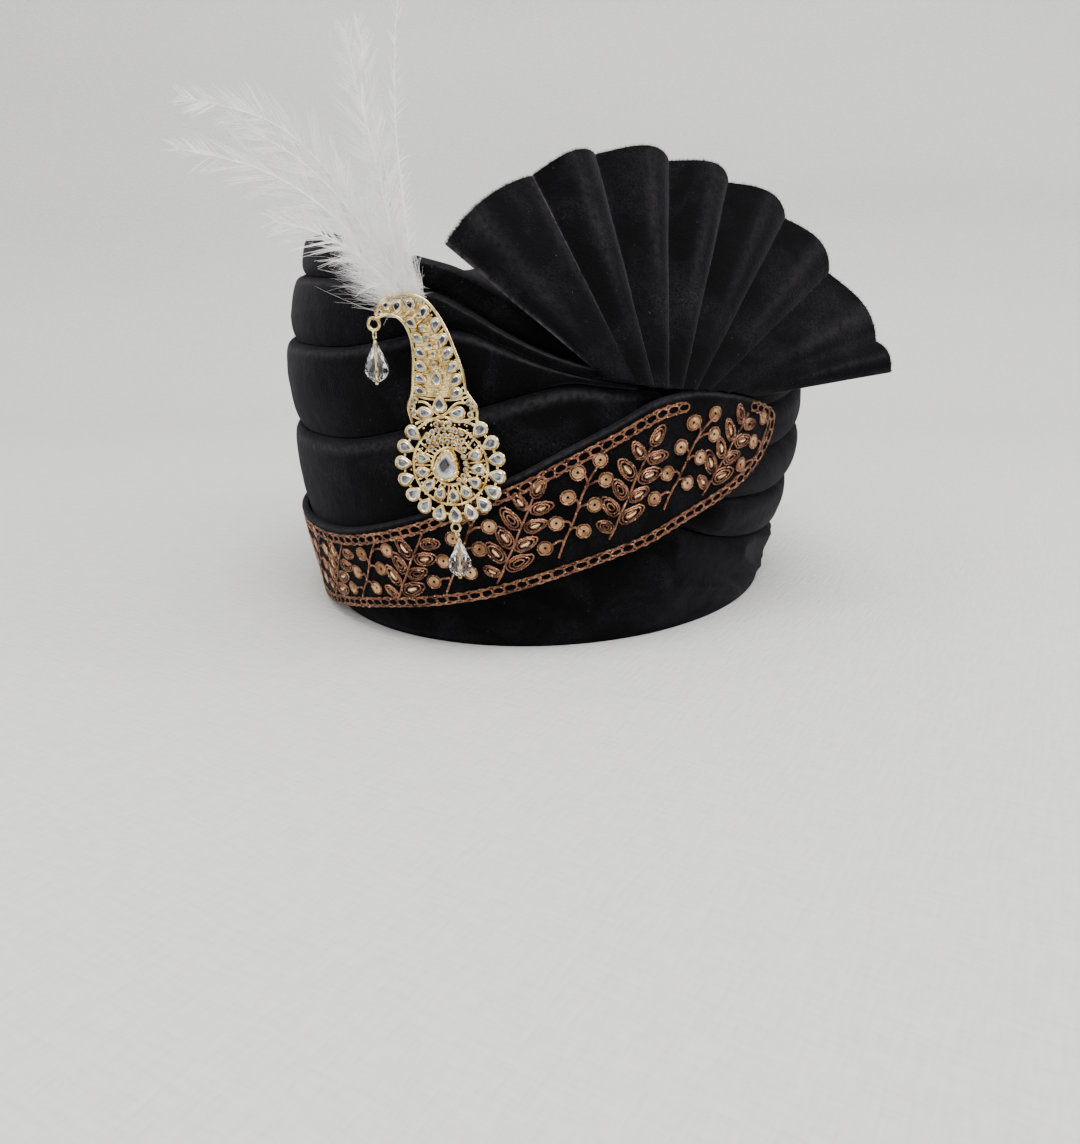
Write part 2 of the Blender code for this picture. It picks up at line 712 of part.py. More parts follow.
def add_frame_wires(bm):
    """The wires behind the stones: two rings with spokes, the neck's rails and rungs, two eyes."""
    for ring in STONE_RINGS[:2]:
        points = ring_points(ROUND_RADIUS * ring.radius, 0, 0, ring.count + 5)
        add_wire(bm, points, WIRE_RADIUS, closed=True)
    lift = Vector((0, 0, WIRE_LEVEL))
    for spokes in SPOKES:
        for k in range(spokes.count):
            spoke = direction_at(spokes.first_angle + 360 * k / spokes.count) * ROUND_RADIUS
            ends = [spoke * spokes.start + lift * 0.9, spoke * spokes.end + lift * 0.9]
            add_wire(bm, ends, WIRE_RADIUS * 0.8)
    for side in (-0.93, 0.93):
        shares = [0.97 * k / RAIL_STEPS for k in range(RAIL_STEPS + 1)]
        add_wire(bm, [beside_neck(share, side) + lift for share in shares], WIRE_RADIUS)
    spine = [neck_at(k / RAIL_STEPS)[0] + lift * 0.95 for k in range(RAIL_STEPS + 1)]
    add_wire(bm, spine, WIRE_RADIUS * 0.9)
    for share in RUNGS:
        rung = [beside_neck(share, end) + lift * 0.85 for end in (-0.95, 0.95)]
        add_wire(bm, rung, WIRE_RADIUS * 0.8)
    for across, up in (upper_eye(), lower_eye()):
        add_wire(bm, ring_points(EYE_RADIUS, across, up, RING_SIDES), WIRE_RADIUS, closed=True)


def add_pin_bar(bm):
    """The flat bar behind the setting, which carries it off the cloth."""
    overlap = WIRE_RADIUS
    corners = bmesh.ops.create_cube(bm, size=1.0)["verts"]
    size = (PIN_BAR_WIDTH, PIN_BAR_LENGTH, PIN_BAR_DEPTH + overlap)
    middle = (PIN_BAR_ACROSS, PIN_BAR_UP, (overlap - PIN_BAR_DEPTH) / 2)
    bmesh.ops.scale(bm, verts=corners, vec=size)
    bmesh.ops.translate(bm, verts=corners, vec=middle)


def build_setting(material):
    """The gold setting with its small stones, wires, eyes and pin bar, joined into one body."""
    stones = bmesh.new()
    add_round_part(stones)
    add_neck_stones(stones)
    wires = bmesh.new()
    add_frame_wires(wires)
    add_pin_bar(wires)
    stone_body = new_object("brooch_stones", stones, material)
    wire_body = new_object("brooch_wires", wires, material)
    return join_bodies("brooch_setting", stone_body, wire_body, self_crossing=True)


def add_plate(bm, outline, across, up, low, high):
    """A flat plate with the given outline."""
    shift = Vector((across, up))
    add_loft(bm, [[Vector((*(p + shift), z)) for p in outline] for z in (low, high)])


def join_bodies(name, body, addition, self_crossing=False):
    """One closed body of the brooch from two that overlap, joined by an exact union."""
    body.name = name
    body.matrix_world = brooch_frame()
    addition.name = name + "_addition"
    addition.display_type = "WIRE"
    addition.hide_render = True
    addition.matrix_world = brooch_frame()
    union = body.modifiers.new("union", "BOOLEAN")
    union.operation = "UNION"
    union.solver = "EXACT"
    union.use_self = self_crossing
    union.object = addition
    return body


def upper_eye():
    """Centre of the eye at the neck's tip."""
    tip = neck_at(1.0)[0]
    return tip.x - EYE_RADIUS * 0.9, tip.y - EYE_RADIUS * 0.8


def lower_eye():
    """Centre of the eye below the round part."""
    return ROUND_RADIUS * 0.08, -ROUND_RADIUS - EYE_RADIUS * 0.55


def build_centre_stone(material):
    """The large pear stone: a girdle, two rings of crown facets and a table."""
    bm = bmesh.new()
    outline = stone_outline(CENTRE_LENGTH, CENTRE_WIDTH, CENTRE_SIDES)
    base = SETTING_DEPTH + HANG_GAP
    shift = Vector((CENTRE_ACROSS, CENTRE_UP))
    sections = []
    for level in CENTRE_LEVELS:
        height = base + level.rise * CENTRE_RISE
        sections.append([Vector((*(p * level.size + shift), height)) for p in outline])
    add_loft(bm, sections)
    stone = new_object("centre_stone", bm, material, smooth=False)
    stone.matrix_world = brooch_frame()
    return stone


def add_turned(bm, profile, sides, centre):
    """A body turned round the upright axis through centre, from (radius, height) pairs."""
    sections = []
    for radius, height in profile:
        turns = [2 * math.pi * (k + 0.5) / sides for k in range(sides)]
        sections.append([
            centre + Vector((radius * math.cos(t), height, radius * math.sin(t))) for t in turns
        ])
    add_loft(bm, sections)


def drop_levels(up, neck):
    """Heights of a drop that hangs from an eye: loop centre, bead top and bead bottom."""
    loop = up - EYE_RADIUS + WIRE_RADIUS + HANG_GAP - (LOOP_RADIUS - LOOP_WIRE)
    bead_top = loop - LOOP_RADIUS - LOOP_WIRE - HANG_GAP - neck
    return loop, bead_top, bead_top - DROP_LENGTH


def build_drop_pin(name, eye, neck, material):
    """A headed pin: a loop through the eye above, a stem through the bead and a foot below it."""
    across, up = eye
    loop, _, bead_bottom = drop_levels(up, neck)
    bm = bmesh.new()
    sections = []
    for k in range(RING_SIDES):
        t = 2 * math.pi * k / RING_SIDES
        spoke = Vector((0, math.sin(t), math.cos(t)))
        section = []
        for i in range(WIRE_SIDES):
            a = 2 * math.pi * i / WIRE_SIDES
            centre = Vector((across + LOOP_WIRE * math.sin(a), loop, WIRE_LEVEL))
            section.append(centre + spoke * (LOOP_RADIUS + LOOP_WIRE * math.cos(a)))
        sections.append(section)
    add_loft(bm, sections, closed=True)
    stem = bmesh.new()
    foot = bead_bottom - HANG_GAP
    profile = (
        (STEM_RADIUS, loop - LOOP_RADIUS),
        (STEM_RADIUS, foot),
        (STEM_RADIUS * 2.2, foot - STEM_RADIUS * 0.6),
        (STEM_RADIUS * 2.2, foot - STEM_RADIUS * 2.2),
        (STEM_RADIUS * 1.2, foot - STEM_RADIUS * 3.2),
    )
    add_turned(stem, profile, STEM_SIDES, Vector((across, 0, WIRE_LEVEL)))
    return join_bodies(name, new_object(name, bm, material), new_object(name, stem, material))


def build_drop_bead(name, eye, neck, material):
    """A faceted pear bead, drilled from top to bottom for its pin."""
    across, up = eye
    _, top, bottom = drop_levels(up, neck)
    hole = STEM_RADIUS + BORE_GAP
    profile = [
        (row.radius * DROP_WIDTH / 2, bottom + row.height * (top - bottom)) for row in DROP_PROFILE
    ]
    profile += [(hole, top), (hole, bottom)]
    bm = bmesh.new()
    sections = []
    for k in range(STONE_SIDES):
        t = 2 * math.pi * (k + 0.5) / STONE_SIDES
        sections.append([
            Vector((across + radius * math.cos(t), height, WIRE_LEVEL + radius * math.sin(t)))
            for radius, height in profile
        ])
    add_loft(bm, sections, closed=True)
    bead = new_object(name, bm, material, smooth=False)
    bead.matrix_world = brooch_frame()
    return bead


def lean_direction(lean, forward=0.0):
    """The direction that leans from upright towards the wearer's right, and forward."""
    level = math.cos(forward)
    return Vector((-math.sin(lean) * level, math.cos(lean) * level, math.sin(forward)))


def grow_lock(bm, lock, ring, spread):
    """Grow a lock from four head corners: a flat strip that bends, swells and tapers to its tip."""
    point = sum((corner.co for corner in ring), Vector()) / 4
    root_half = (ring[0].co - ring[1].co).length / 2
    step = PLUME_HEIGHT * lock.length / LOCK_STEPS
    for k in range(1, LOCK_STEPS + 1):
        share = k / LOCK_STEPS
        middle = (k - 0.5) / LOCK_STEPS
        lean = math.radians(lock.root_lean + (lock.tip_lean - lock.root_lean) * middle)
        forward = math.radians(lock.forward) * math.sin(math.pi / 2 * share)
        along = lean_direction(lean, forward)
        point = point + along * step
        flat = Vector((along.y, -along.x, 0)).normalized()
        thick = along.cross(flat).normalized()
        room = root_half + LOCK_SPREAD * spread * step * k
        half = min(room, PLUME_HEIGHT * lock.width / 2) * (1 - TIP_WIDTH_LOSS * share**2.5)
        depth = LOCK_THICKNESS * (1 - TIP_DEPTH_LOSS * share)
        signs = ((-1, 1), (1, 1), (1, -1), (-1, -1))
        corners = [point + flat * half * across + thick * depth * deep for across, deep in signs]
        following = [bm.verts.new(corner) for corner in corners]
        for i in range(4):
            after = (i + 1) % 4
            bm.faces.new((ring[i], ring[after], following[after], following[i]))
        ring = following
    bm.faces.new(ring)


def build_plume(material):
    """The feather plume: a flat quill behind the brooch's top, and locks grown from its head."""
    line_rows = len(NECK_LINE) - 1
    highest = max(range(len(NECK_LINE)), key=lambda row: NECK_LINE[row].up)
    top_line, top_half = neck_at(highest / line_rows)
    middle = -PIECE_GAP - QUILL_RADIUS
    foot = Vector((top_line.x, top_line.y + top_half - QUILL_LENGTH * 0.35, middle))
    heart = foot + Vector((0, QUILL_LENGTH * 0.7, 0))
    leans = [math.radians(lock.root_lean) for lock in LOCKS]
    edges = [(a + b) / 2 for a, b in zip(leans, leans[1:])]
    margin = math.radians(6)
    bounds = [leans[0] - margin] + edges + [leans[-1] + margin]
    arc = [heart + lean_direction(lean) * HEAD_RADIUS for lean in bounds]
    side = Vector((QUILL_RADIUS, 0, 0))
    head_side = side * 1.3
    outline = [foot - side, foot + side, heart + head_side] + arc
    outline.append(heart - head_side - Vector((0, QUILL_RADIUS, 0)))
    bm = bmesh.new()
    deep = Vector((0, 0, QUILL_RADIUS))
    front = [bm.verts.new(point + deep) for point in outline]
    back = [bm.verts.new(point - deep) for point in outline]
    bm.faces.new(front)
    bm.faces.new(back)
    count = len(outline)
    arc_start = outline.index(arc[0])
    for k in range(count):
        after = (k + 1) % count
        lock = k - arc_start
        if 0 <= lock < len(LOCKS):
            spread = bounds[lock + 1] - bounds[lock]
            grow_lock(bm, LOCKS[lock], [front[after], front[k], back[k], back[after]], spread)
        else:
            bm.faces.new((front[k], front[after], back[after], back[k]))
    plume = new_object("plume", bm, material)
    plume.matrix_world = brooch_frame()
    return plume


def main():
    """Build every piece."""
    clear_scene()
    velvet = surface("velvet", VELVET_BLACK, 0.9)
    build_cap(surface("cap_velvet", CAP_BLACK, 0.95))
    build_rim_wrap(velvet)
    for wrap in WRAPS:
        build_wrap(wrap, velvet)
    build_band(surface("zari_band", BAND_COPPER, 0.6, 0.3))
    build_fan(velvet)
    gold = surface("pale_gold", PALE_GOLD, 0.25, 1.0)
    crystal = surface("crystal", CLEAR_CRYSTAL, 0.05)
    build_setting(gold)
    build_centre_stone(crystal)
    drops = (("upper_drop", upper_eye(), 0.0), ("lower_drop", lower_eye(), LOWER_NECK))
    for name, eye, neck in drops:
        build_drop_pin(name + "_pin", eye, neck, gold)
        build_drop_bead(name + "_bead", eye, neck, crystal)
    build_plume(surface("feather", FEATHER_WHITE, 0.9))


main()
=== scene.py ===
"""The dressed look of a tied velvet turban with its fan, embroidered band, brooch and plume.

Metres, +Z up. The origin is the centre of the head opening on the plane of the rim. -Y is the
wearer's front and +X the wearer's left, where the fan stands. Azimuths are degrees from the front
towards the wearer's left.
"""

import logging
import math
from dataclasses import dataclass, field
from enum import Enum
from typing import Iterable, Sequence

import bpy
import numpy as np
from mathutils import Euler, Matrix, Vector, noise


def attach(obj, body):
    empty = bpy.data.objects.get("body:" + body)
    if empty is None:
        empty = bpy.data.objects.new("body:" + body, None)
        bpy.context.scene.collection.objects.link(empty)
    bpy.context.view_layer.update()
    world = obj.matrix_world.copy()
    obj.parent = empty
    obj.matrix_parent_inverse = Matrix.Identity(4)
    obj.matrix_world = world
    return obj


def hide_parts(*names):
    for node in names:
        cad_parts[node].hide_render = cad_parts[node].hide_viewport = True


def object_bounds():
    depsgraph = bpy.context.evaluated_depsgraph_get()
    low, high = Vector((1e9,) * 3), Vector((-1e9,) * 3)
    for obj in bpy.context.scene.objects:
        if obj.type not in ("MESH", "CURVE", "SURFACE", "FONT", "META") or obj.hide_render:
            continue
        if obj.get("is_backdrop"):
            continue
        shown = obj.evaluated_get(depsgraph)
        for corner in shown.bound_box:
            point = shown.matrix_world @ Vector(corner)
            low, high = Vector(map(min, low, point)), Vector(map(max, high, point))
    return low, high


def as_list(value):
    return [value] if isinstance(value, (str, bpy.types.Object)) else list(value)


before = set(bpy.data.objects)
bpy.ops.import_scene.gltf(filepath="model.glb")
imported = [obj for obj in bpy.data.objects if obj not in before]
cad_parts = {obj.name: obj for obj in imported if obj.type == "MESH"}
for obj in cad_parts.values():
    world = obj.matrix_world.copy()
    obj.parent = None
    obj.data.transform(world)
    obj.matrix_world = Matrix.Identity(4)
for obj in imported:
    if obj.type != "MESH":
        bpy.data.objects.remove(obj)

CAD_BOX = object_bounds()
BODY = "root"
LOG = logging.getLogger("turban")

Array = np.ndarray
Colour = tuple[float, float, float]
Finish = bpy.types.Material
Output = bpy.types.NodeSocket
Piece = bpy.types.Object


class Side(Enum):
    """The two sides of a line, seen from outside with the line running to the right."""

    LEFT = 1
    RIGHT = -1


class Cut(Enum):
    """Outlines in which the brooch's stones are cut."""

    PEAR = "pear"
    ROUND = "round"


# Numbers that several pieces share


def unit(vectors: Array) -> Array:
    """Vectors scaled to length one.

    Args:
        vectors: An array whose last axis holds x, y and z.

    Returns:
        An array of the same shape.
    """
    length = np.linalg.norm(vectors, axis=-1, keepdims=True)
    return vectors / np.maximum(length, 1e-12)


def xyz(x: object, y: object, z: object) -> Array:
    """Three arrays or numbers joined into points, stretched to one shape first."""
    return np.stack(np.broadcast_arrays(x, y, z), -1)


def soft_step(values: Array, start: float, end: float) -> Array:
    """A soft step from 0 at start to 1 at end."""
    t = np.clip((values - start) / (end - start), 0, 1)
    return t * t * (3 - 2 * t)


def patches(points: Array, scale: Sequence[float], seed: float = 0.0) -> Array:
    """Smooth noise from -1 to 1 at each point.

    Args:
        points: Points, in metres.
        scale: How many noise cells lie in a metre along x, y and z.
        seed: Shifts the noise, so that two uses differ.

    Returns:
        One number for each point.
    """
    flat = (points.reshape(-1, 3) * np.asarray(scale)) + seed
    values = [noise.noise(Vector(row)) for row in flat]
    return np.array(values).reshape(points.shape[:-1])


class Course:
    """A table read as smooth lines: each column against the first, which rises."""

    def __init__(self, columns: str, rows: Sequence[Sequence[float]]) -> None:
        """Keep the rows under the column names, which are given in one string."""
        names = columns.split()
        table = np.array(rows, float)
        self.keys = table[:, 0]
        self.columns = {name: table[:, k] for k, name in enumerate(names)}

    def at(self, column: str, places: Array) -> Array:
        """The column's value at each place.

        Args:
            column: The column's name.
            places: Places on the first column's scale, held to the table's ends.

        Returns:
            The smooth line's value at each place.
        """
        keys, values = self.keys, self.columns[column]
        places = np.clip(np.asarray(places, float), keys[0], keys[-1])
        k = np.clip(np.searchsorted(keys, places, side="right") - 1, 0, len(keys) - 2)
        low = np.maximum(np.arange(len(keys)) - 1, 0)
        high = np.minimum(np.arange(len(keys)) + 1, len(keys) - 1)
        slope = (values[high] - values[low]) / (keys[high] - keys[low])
        span = keys[k + 1] - keys[k]
        t = (places - keys[k]) / span
        held = (2 * t**3 - 3 * t**2 + 1) * values[k] + (3 * t**2 - 2 * t**3) * values[k + 1]
        bent = (t**3 - 2 * t**2 + t) * slope[k] + (t**3 - t**2) * slope[k + 1]
        return held + span * bent

    def points(self, columns: str, places: Array) -> Array:
        """Several columns at each place, joined into points."""
        return np.stack([self.at(column, places) for column in columns.split()], -1)


def smooth_line(points: Sequence[Sequence[float]], count: int) -> Array:
    """A smooth line through points, flat or in space, read at this many points."""
    columns = "x y z"[:2 * len(points[0]) - 1]
    course = Course("place " + columns, [(k, *point) for k, point in enumerate(points)])
    return course.points(columns, np.linspace(0, len(points) - 1, count))


def run_along(points: Array) -> Array:
    """How far along a line each of its points lies."""
    reach = np.linalg.norm(np.diff(points, axis=0), axis=1)
    return np.concatenate([[0], np.cumsum(reach)])


def read_along(values: Array, run: Array, places: Array) -> Array:
    """Points or directions kept along a run, read at places on it."""
    return np.stack([np.interp(places, run, values[:, k]) for k in range(3)], -1)


class Skin:
    """The points and faces of one piece, gathered before they become a mesh."""

    def __init__(self) -> None:
        """Start with nothing."""
        self.points: list[Array] = []
        self.faces: list[list[int]] = []
        self.finishes: list[int] = []
        self.painted_light: list[Array] = []
        self.count = 0

    def add(
        self, points: Array, faces: Iterable[Sequence[int]], finish: int = 0,
        painted_light: Array | None = None,
    ) -> None:
        """Add points, and faces that number those points from 0.

        Args:
            points: Points, one to a row.
            faces: Corner numbers of each face.
            finish: Which of the piece's finishes the faces take.
            painted_light: Share of painted light at each point, from 0 to 1: a painted highlight on the
                velvet, a painted dark reflection on the stones.
        """
        points = np.asarray(points, float).reshape(-1, 3)
        shifted = [[corner + self.count for corner in face] for face in faces]
        self.faces += shifted
        self.finishes += [finish] * len(shifted)
        self.points.append(points)
        self.painted_light.append(np.zeros(len(points)) if painted_light is None else np.asarray(painted_light).reshape(-1))
        self.count += len(points)

    def grid(
        self, points: Array, around: bool = False, along: bool = False, ends: bool = False,
        finish: int = 0, painted_light: Array | None = None,
    ) -> None:
        """Add a grid of quads.

        Args:
            points: Rows by columns by xyz.
            around: Join the last column to the first.
            along: Join the last row to the first.
            ends: Close the first and the last row with a face each.
            finish: Which of the piece's finishes the faces take.
            painted_light: Share of painted light at each point.
        """
        rows, columns = points.shape[:2]
        last_row = rows if along else rows - 1
        last_column = columns if around else columns - 1
        i = np.arange(last_row)[:, None]
        j = np.arange(last_column)[None, :]
        below, above = (i % rows) * columns, ((i + 1) % rows) * columns
        here, after = j % columns, (j + 1) % columns
        quads = np.stack([below + here, below + after, above + after, above + here], -1)
        faces = quads.reshape(-1, 4).tolist()
        if ends:
            faces.append(list(range(columns))[::-1])
            faces.append([(rows - 1) * columns + k for k in range(columns)])
        self.add(points, faces, finish, painted_light)

    def tube(
        self, path: Array, radius: float | Array, sides: int = 6, closed: bool = False,
        up: Array | None = None, flatness: float = 1.0,
    ) -> None:
        """Add a tube along a path.

        Args:
            path: Points of its middle line.
            radius: One radius, or one at each point.
            sides: Sides of the tube.
            closed: Join its two ends.
            up: Direction that counts as up at each point, or one for all.
            flatness: Height of its section as a share of its width.
        """
        path = np.asarray(path, float)
        count = len(path)
        if closed:
            along = np.roll(path, -1, 0) - np.roll(path, 1, 0)
        else:
            along = np.gradient(path, axis=0)
        along = unit(along)
        if up is None:
            up = np.array([0.0, 0.0, 1.0])
            if np.abs(along @ up).max() > 0.95:
                up = np.array([0.0, 1.0, 0.0])
        up = np.broadcast_to(up, (count, 3))
        side = unit(np.cross(along, up))
        lift = np.cross(side, along)
        turn = 2 * math.pi * (np.arange(sides) + 0.5) / sides
        radius = np.broadcast_to(radius, (count,))[:, None, None]
        across = np.cos(turn)[None, :, None] * side[:, None, :]
        height = flatness * np.sin(turn)[None, :, None] * lift[:, None, :]
        rings = path[:, None, :] + radius * (across + height)
        self.grid(rings, around=True, along=closed, ends=not closed)

    def ball(self, centre: Sequence[float], radius: float, rings: int = 4, sides: int = 8) -> None:
        """Add a small round grain.

        Args:
            centre: Its middle.
            radius: Its radius.
            rings: Rings of points from its top to its foot.
            sides: Points in each ring.
        """
        tilt = np.pi * (np.arange(rings) + 0.5) / rings
        turn = 2 * np.pi * np.arange(sides) / sides
        level = np.cos(tilt)[:, None] * np.ones(sides)
        around = np.sin(tilt)[:, None]
        points = np.stack([around * np.cos(turn), around * np.sin(turn), level], -1)
        self.grid(np.asarray(centre) + radius * points, around=True, ends=True)

    def build(
        self, name: str, finishes: Sequence[Finish], slot: str,
        replaced: Sequence[str] = (), crease: float = 60.0, place: Matrix | None = None,
    ) -> Piece:
        """Turn the points and faces into a piece that rides on the turban.

        Args:
            name: The piece's name.
            finishes: Its materials.
            slot: Not used.
            replaced: CAD nodes that the piece stands for.
            crease: Edges that bend more than this many degrees stay sharp.
            place: Where the piece's own frame lies.

        Returns:
            The piece.
        """
        points = np.concatenate(self.points)
        if place is not None:
            turned = np.array(place.to_3x3())
            points = points @ turned.T + np.array(place.translation)
        mesh = bpy.data.meshes.new(name)
        mesh.from_pydata(points.tolist(), [], self.faces)
        mesh.validate()
        for finish in finishes:
            mesh.materials.append(finish)
        if len(finishes) > 1:
            mesh.polygons.foreach_set("material_index", self.finishes)
        # The per-point share of painted light (highlight on the velvet, dark reflection on the stones)
        # becomes a point attribute that the materials read.
        painted_light = np.concatenate(self.painted_light)
        if painted_light.any():
            layer = mesh.attributes.new("painted_light", "FLOAT", "POINT")
            layer.data.foreach_set("value", painted_light.astype(np.float32))
        mesh.shade_smooth()
        mesh.set_sharp_from_angle(angle=math.radians(crease))
        piece = bpy.data.objects.new(name, mesh)
        bpy.context.scene.collection.objects.link(piece)
        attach(piece, BODY)
        if replaced:
            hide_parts(*replaced)
        LOG.info("%s: %d faces", name, len(mesh.polygons))
        return piece


# Finishes


class Palette:
    """A material's nodes, written one at a time."""

    def __init__(self, name: str) -> None:
        """Make the material and find its shader."""
        self.material = bpy.data.materials.new(name)
        self.material.use_nodes = True
        self.tree = self.material.node_tree
        self.shader = self.tree.nodes["Principled BSDF"]
        self.place = self.tree.nodes.new("ShaderNodeTexCoord").outputs["Object"]

    def set(self, **values: float | Colour) -> None:
        """Set the shader's own sockets, named with underscores for spaces."""
        for name, value in values.items():
            socket = self.shader.inputs[name.replace("_", " ")]
            if isinstance(value, tuple) and len(value) == 3 and socket.type == "RGBA":
                value = (*value, 1.0)
            socket.default_value = value

    def link(self, output: Output, name: str) -> None:
        """Link an output to a named socket of the shader."""
        self.tree.links.new(output, self.shader.inputs[name])

    def feed(self, node: bpy.types.Node, socket: str | int, value: object) -> None:
        """Give a node's socket a value, or link it to an output.

        Args:
            node: The node.
            socket: The socket's name or number.
            value: A number, a colour or an output.
        """
        target = node.inputs[socket]
        if isinstance(value, Output):
            self.tree.links.new(value, target)
        elif isinstance(value, tuple) and len(value) == 3 and target.type == "RGBA":
            target.default_value = (*value, 1.0)
        else:
            target.default_value = value

    def stretched(self, scale: Colour) -> Output:
        """Object coordinates, stretched."""
        node = self.tree.nodes.new("ShaderNodeMapping")
        self.feed(node, "Vector", self.place)
        self.feed(node, "Scale", scale)
        return node.outputs["Vector"]

    def mottle(
        self, scale: float, detail: float = 2.0, stretch: Colour = (1.0, 1.0, 1.0),
        roughness: float = 0.5, distortion: float = 0.0,
    ) -> Output:
        """Noise with this many cells in a metre.

        Args:
            scale: Cells in a metre.
            detail: How many finer layers it has.
            stretch: Extra scale along x, y and z.
            roughness: Strength of the finer layers.
            distortion: How far the cells swirl.

        Returns:
            An output from 0 to 1.
        """
        node = self.tree.nodes.new("ShaderNodeTexNoise")
        self.feed(node, "Vector", self.stretched(stretch))
        self.feed(node, "Scale", scale)
        self.feed(node, "Detail", detail)
        self.feed(node, "Roughness", roughness)
        self.feed(node, "Distortion", distortion)
        return node.outputs["Fac"]

    def ramp(
        self, value: Output, low: float, high: float, to: Sequence[float] = (0.0, 1.0)
    ) -> Output:
        """A value spread from low..high to a new range, and held there."""
        node = self.tree.nodes.new("ShaderNodeMapRange")
        node.clamp = True
        for socket, number in enumerate((value, low, high, *to)):
            self.feed(node, socket, number)
        return node.outputs["Result"]

    def reckon(self, kind: str, first: object, second: object) -> Output:
        """Two values added, multiplied or compared, as the kind says."""
        node = self.tree.nodes.new("ShaderNodeMath")
        node.operation = kind
        self.feed(node, 0, first)
        self.feed(node, 1, second)
        return node.outputs[0]

    def mix(self, share: object, first: object, second: object) -> Output:
        """Two colours mixed.

        Args:
            share: The second colour's share.
            first: A colour, or an output that gives one.
            second: Another.

        Returns:
            The mixed colour's output.
        """
        node = self.tree.nodes.new("ShaderNodeMix")
        node.data_type = "RGBA"
        colours = [socket for socket in node.inputs if socket.type == "RGBA"]
        self.feed(node, 0, share)
        for target, value in zip(colours, (first, second)):
            if isinstance(value, Output):
                self.tree.links.new(value, target)
            else:
                target.default_value = (*value, 1.0)
        return next(socket for socket in node.outputs if socket.type == "RGBA")

    def attribute(self, name: str) -> Output:
        """A number that the mesh carries at its points."""
        node = self.tree.nodes.new("ShaderNodeAttribute")
        node.attribute_name = name
        return node.outputs["Fac"]

    def bump(
        self, height: Output, distance: float, below: Output | None = None
    ) -> Output:
        """A bump in the surface.

        Args:
            height: What raises it, from 0 to 1.
            distance: How many metres that raises it.
            below: A coarser bump that it lies on.

        Returns:
            The bent normals.
        """
        node = self.tree.nodes.new("ShaderNodeBump")
        node.inputs["Strength"].default_value = 1.0
        node.inputs["Distance"].default_value = distance
        self.feed(node, "Height", height)
        if below is not None:
            self.feed(node, "Normal", below)
        return node.outputs["Normal"]


@dataclass(frozen=True)
class Velvet:
    """Black silk velvet: deep pile, crushed patches, a painted highlight along folds, valleys and padded
    edges, and a little lint.
    """

    name: str = "black_velvet"
    deep: Colour = (0.0016, 0.0016, 0.0020)
    crushed: Colour = (0.0150, 0.0138, 0.0170)
    # Colour of the painted highlight along folds, valleys and padded edges.
    painted_highlight: Colour = (0.052, 0.048, 0.058)
    lint: Colour = (0.050, 0.050, 0.054)
    sheen: float = 0.075
    sheen_roughness: float = 0.40
    sheen_tint: Colour = (0.70, 0.66, 0.80)
    crush_scale: float = 46.0
    nap_scale: float = 1500.0

    def material(self) -> Finish:
        """The finished material."""
        pen = Palette(self.name)
        pen.set(
            Roughness=0.92,
            Sheen_Weight=self.sheen,
            Sheen_Roughness=self.sheen_roughness,
            Sheen_Tint=self.sheen_tint,
            Specular_IOR_Level=0.05,
        )
        crush = pen.ramp(pen.mottle(self.crush_scale, 4, roughness=0.6, distortion=0.8), 0.45, 0.75)
        nap = pen.ramp(pen.mottle(self.nap_scale, 2), 0.35, 0.75)
        ground = pen.mix(pen.reckon("MULTIPLY", crush, nap), self.deep, self.crushed)
        # Painted highlight: the point attribute mixes the lighter colour in along folds, valleys and
        # padded edges, broken up by noise.
        painted_light = pen.ramp(pen.attribute("painted_light"), 0.0, 1.0)
        broken = pen.ramp(pen.mottle(520.0, 3), 0.20, 0.62)
        painted_highlight = pen.mix(pen.reckon("MULTIPLY", painted_light, broken), ground, self.painted_highlight)
        speck = pen.ramp(pen.mottle(900.0, 1), 0.77, 0.82, (0.0, 0.7))
        pen.link(pen.mix(speck, painted_highlight, self.lint), "Base Color")
        lay = pen.bump(pen.mottle(95.0, 3, roughness=0.55, distortion=0.3), 0.0006)
        pen.link(pen.bump(pen.mottle(self.nap_scale, 2), 0.00030, lay), "Normal")
        return pen.material


@dataclass(frozen=True)
class Lining:
    """Plain woven cotton inside the cap."""

    name: str = "cap_lining"
    dark: Colour = (0.018, 0.018, 0.020)
    light: Colour = (0.040, 0.040, 0.043)

    def material(self) -> Finish:
        """The finished material."""
        pen = Palette(self.name)
        pen.set(Roughness=0.85, Specular_IOR_Level=0.2)
        warp = pen.mottle(900.0, 1, (1.0, 1.0, 0.12))
        weft = pen.mottle(900.0, 1, (0.12, 0.12, 1.0))
        weave = pen.reckon("MAXIMUM", warp, weft)
        pen.link(pen.mix(pen.ramp(weave, 0.45, 0.65), self.dark, self.light), "Base Color")
        pen.link(pen.bump(weave, 0.0003), "Normal")
        return pen.material


@dataclass(frozen=True)
class Zari:
    """Metallic thread, twisted into cord and couched down, with painted shade and painted light in
    random patches and small painted glints.
    """

    name: str = "zari_cord"
    # Dark and bright stand for shaded and lit cord: painted shade and painted light, mixed in random
    # patches.
    dark: Colour = (0.070, 0.026, 0.017)
    bright: Colour = (0.380, 0.175, 0.100)
    painted_glint: Colour = (0.880, 0.560, 0.350)
    roughness: float = 0.38
    metal: float = 0.85

    def material(self) -> Finish:
        """The finished material."""
        pen = Palette(self.name)
        pen.set(Metallic=self.metal, Roughness=self.roughness)
        tone = pen.ramp(pen.mottle(260.0, 4, roughness=0.65), 0.36, 0.66)
        thread = pen.mottle(2600.0, 2)
        body = pen.mix(tone, self.dark, self.bright)
        # Painted glints: small random spots of near-white copper.
        glint = pen.ramp(pen.mottle(1100.0, 2), 0.60, 0.72)
        pen.link(pen.mix(glint, body, self.painted_glint), "Base Color")
        pen.link(pen.bump(thread, 0.00012), "Normal")
        return pen.material


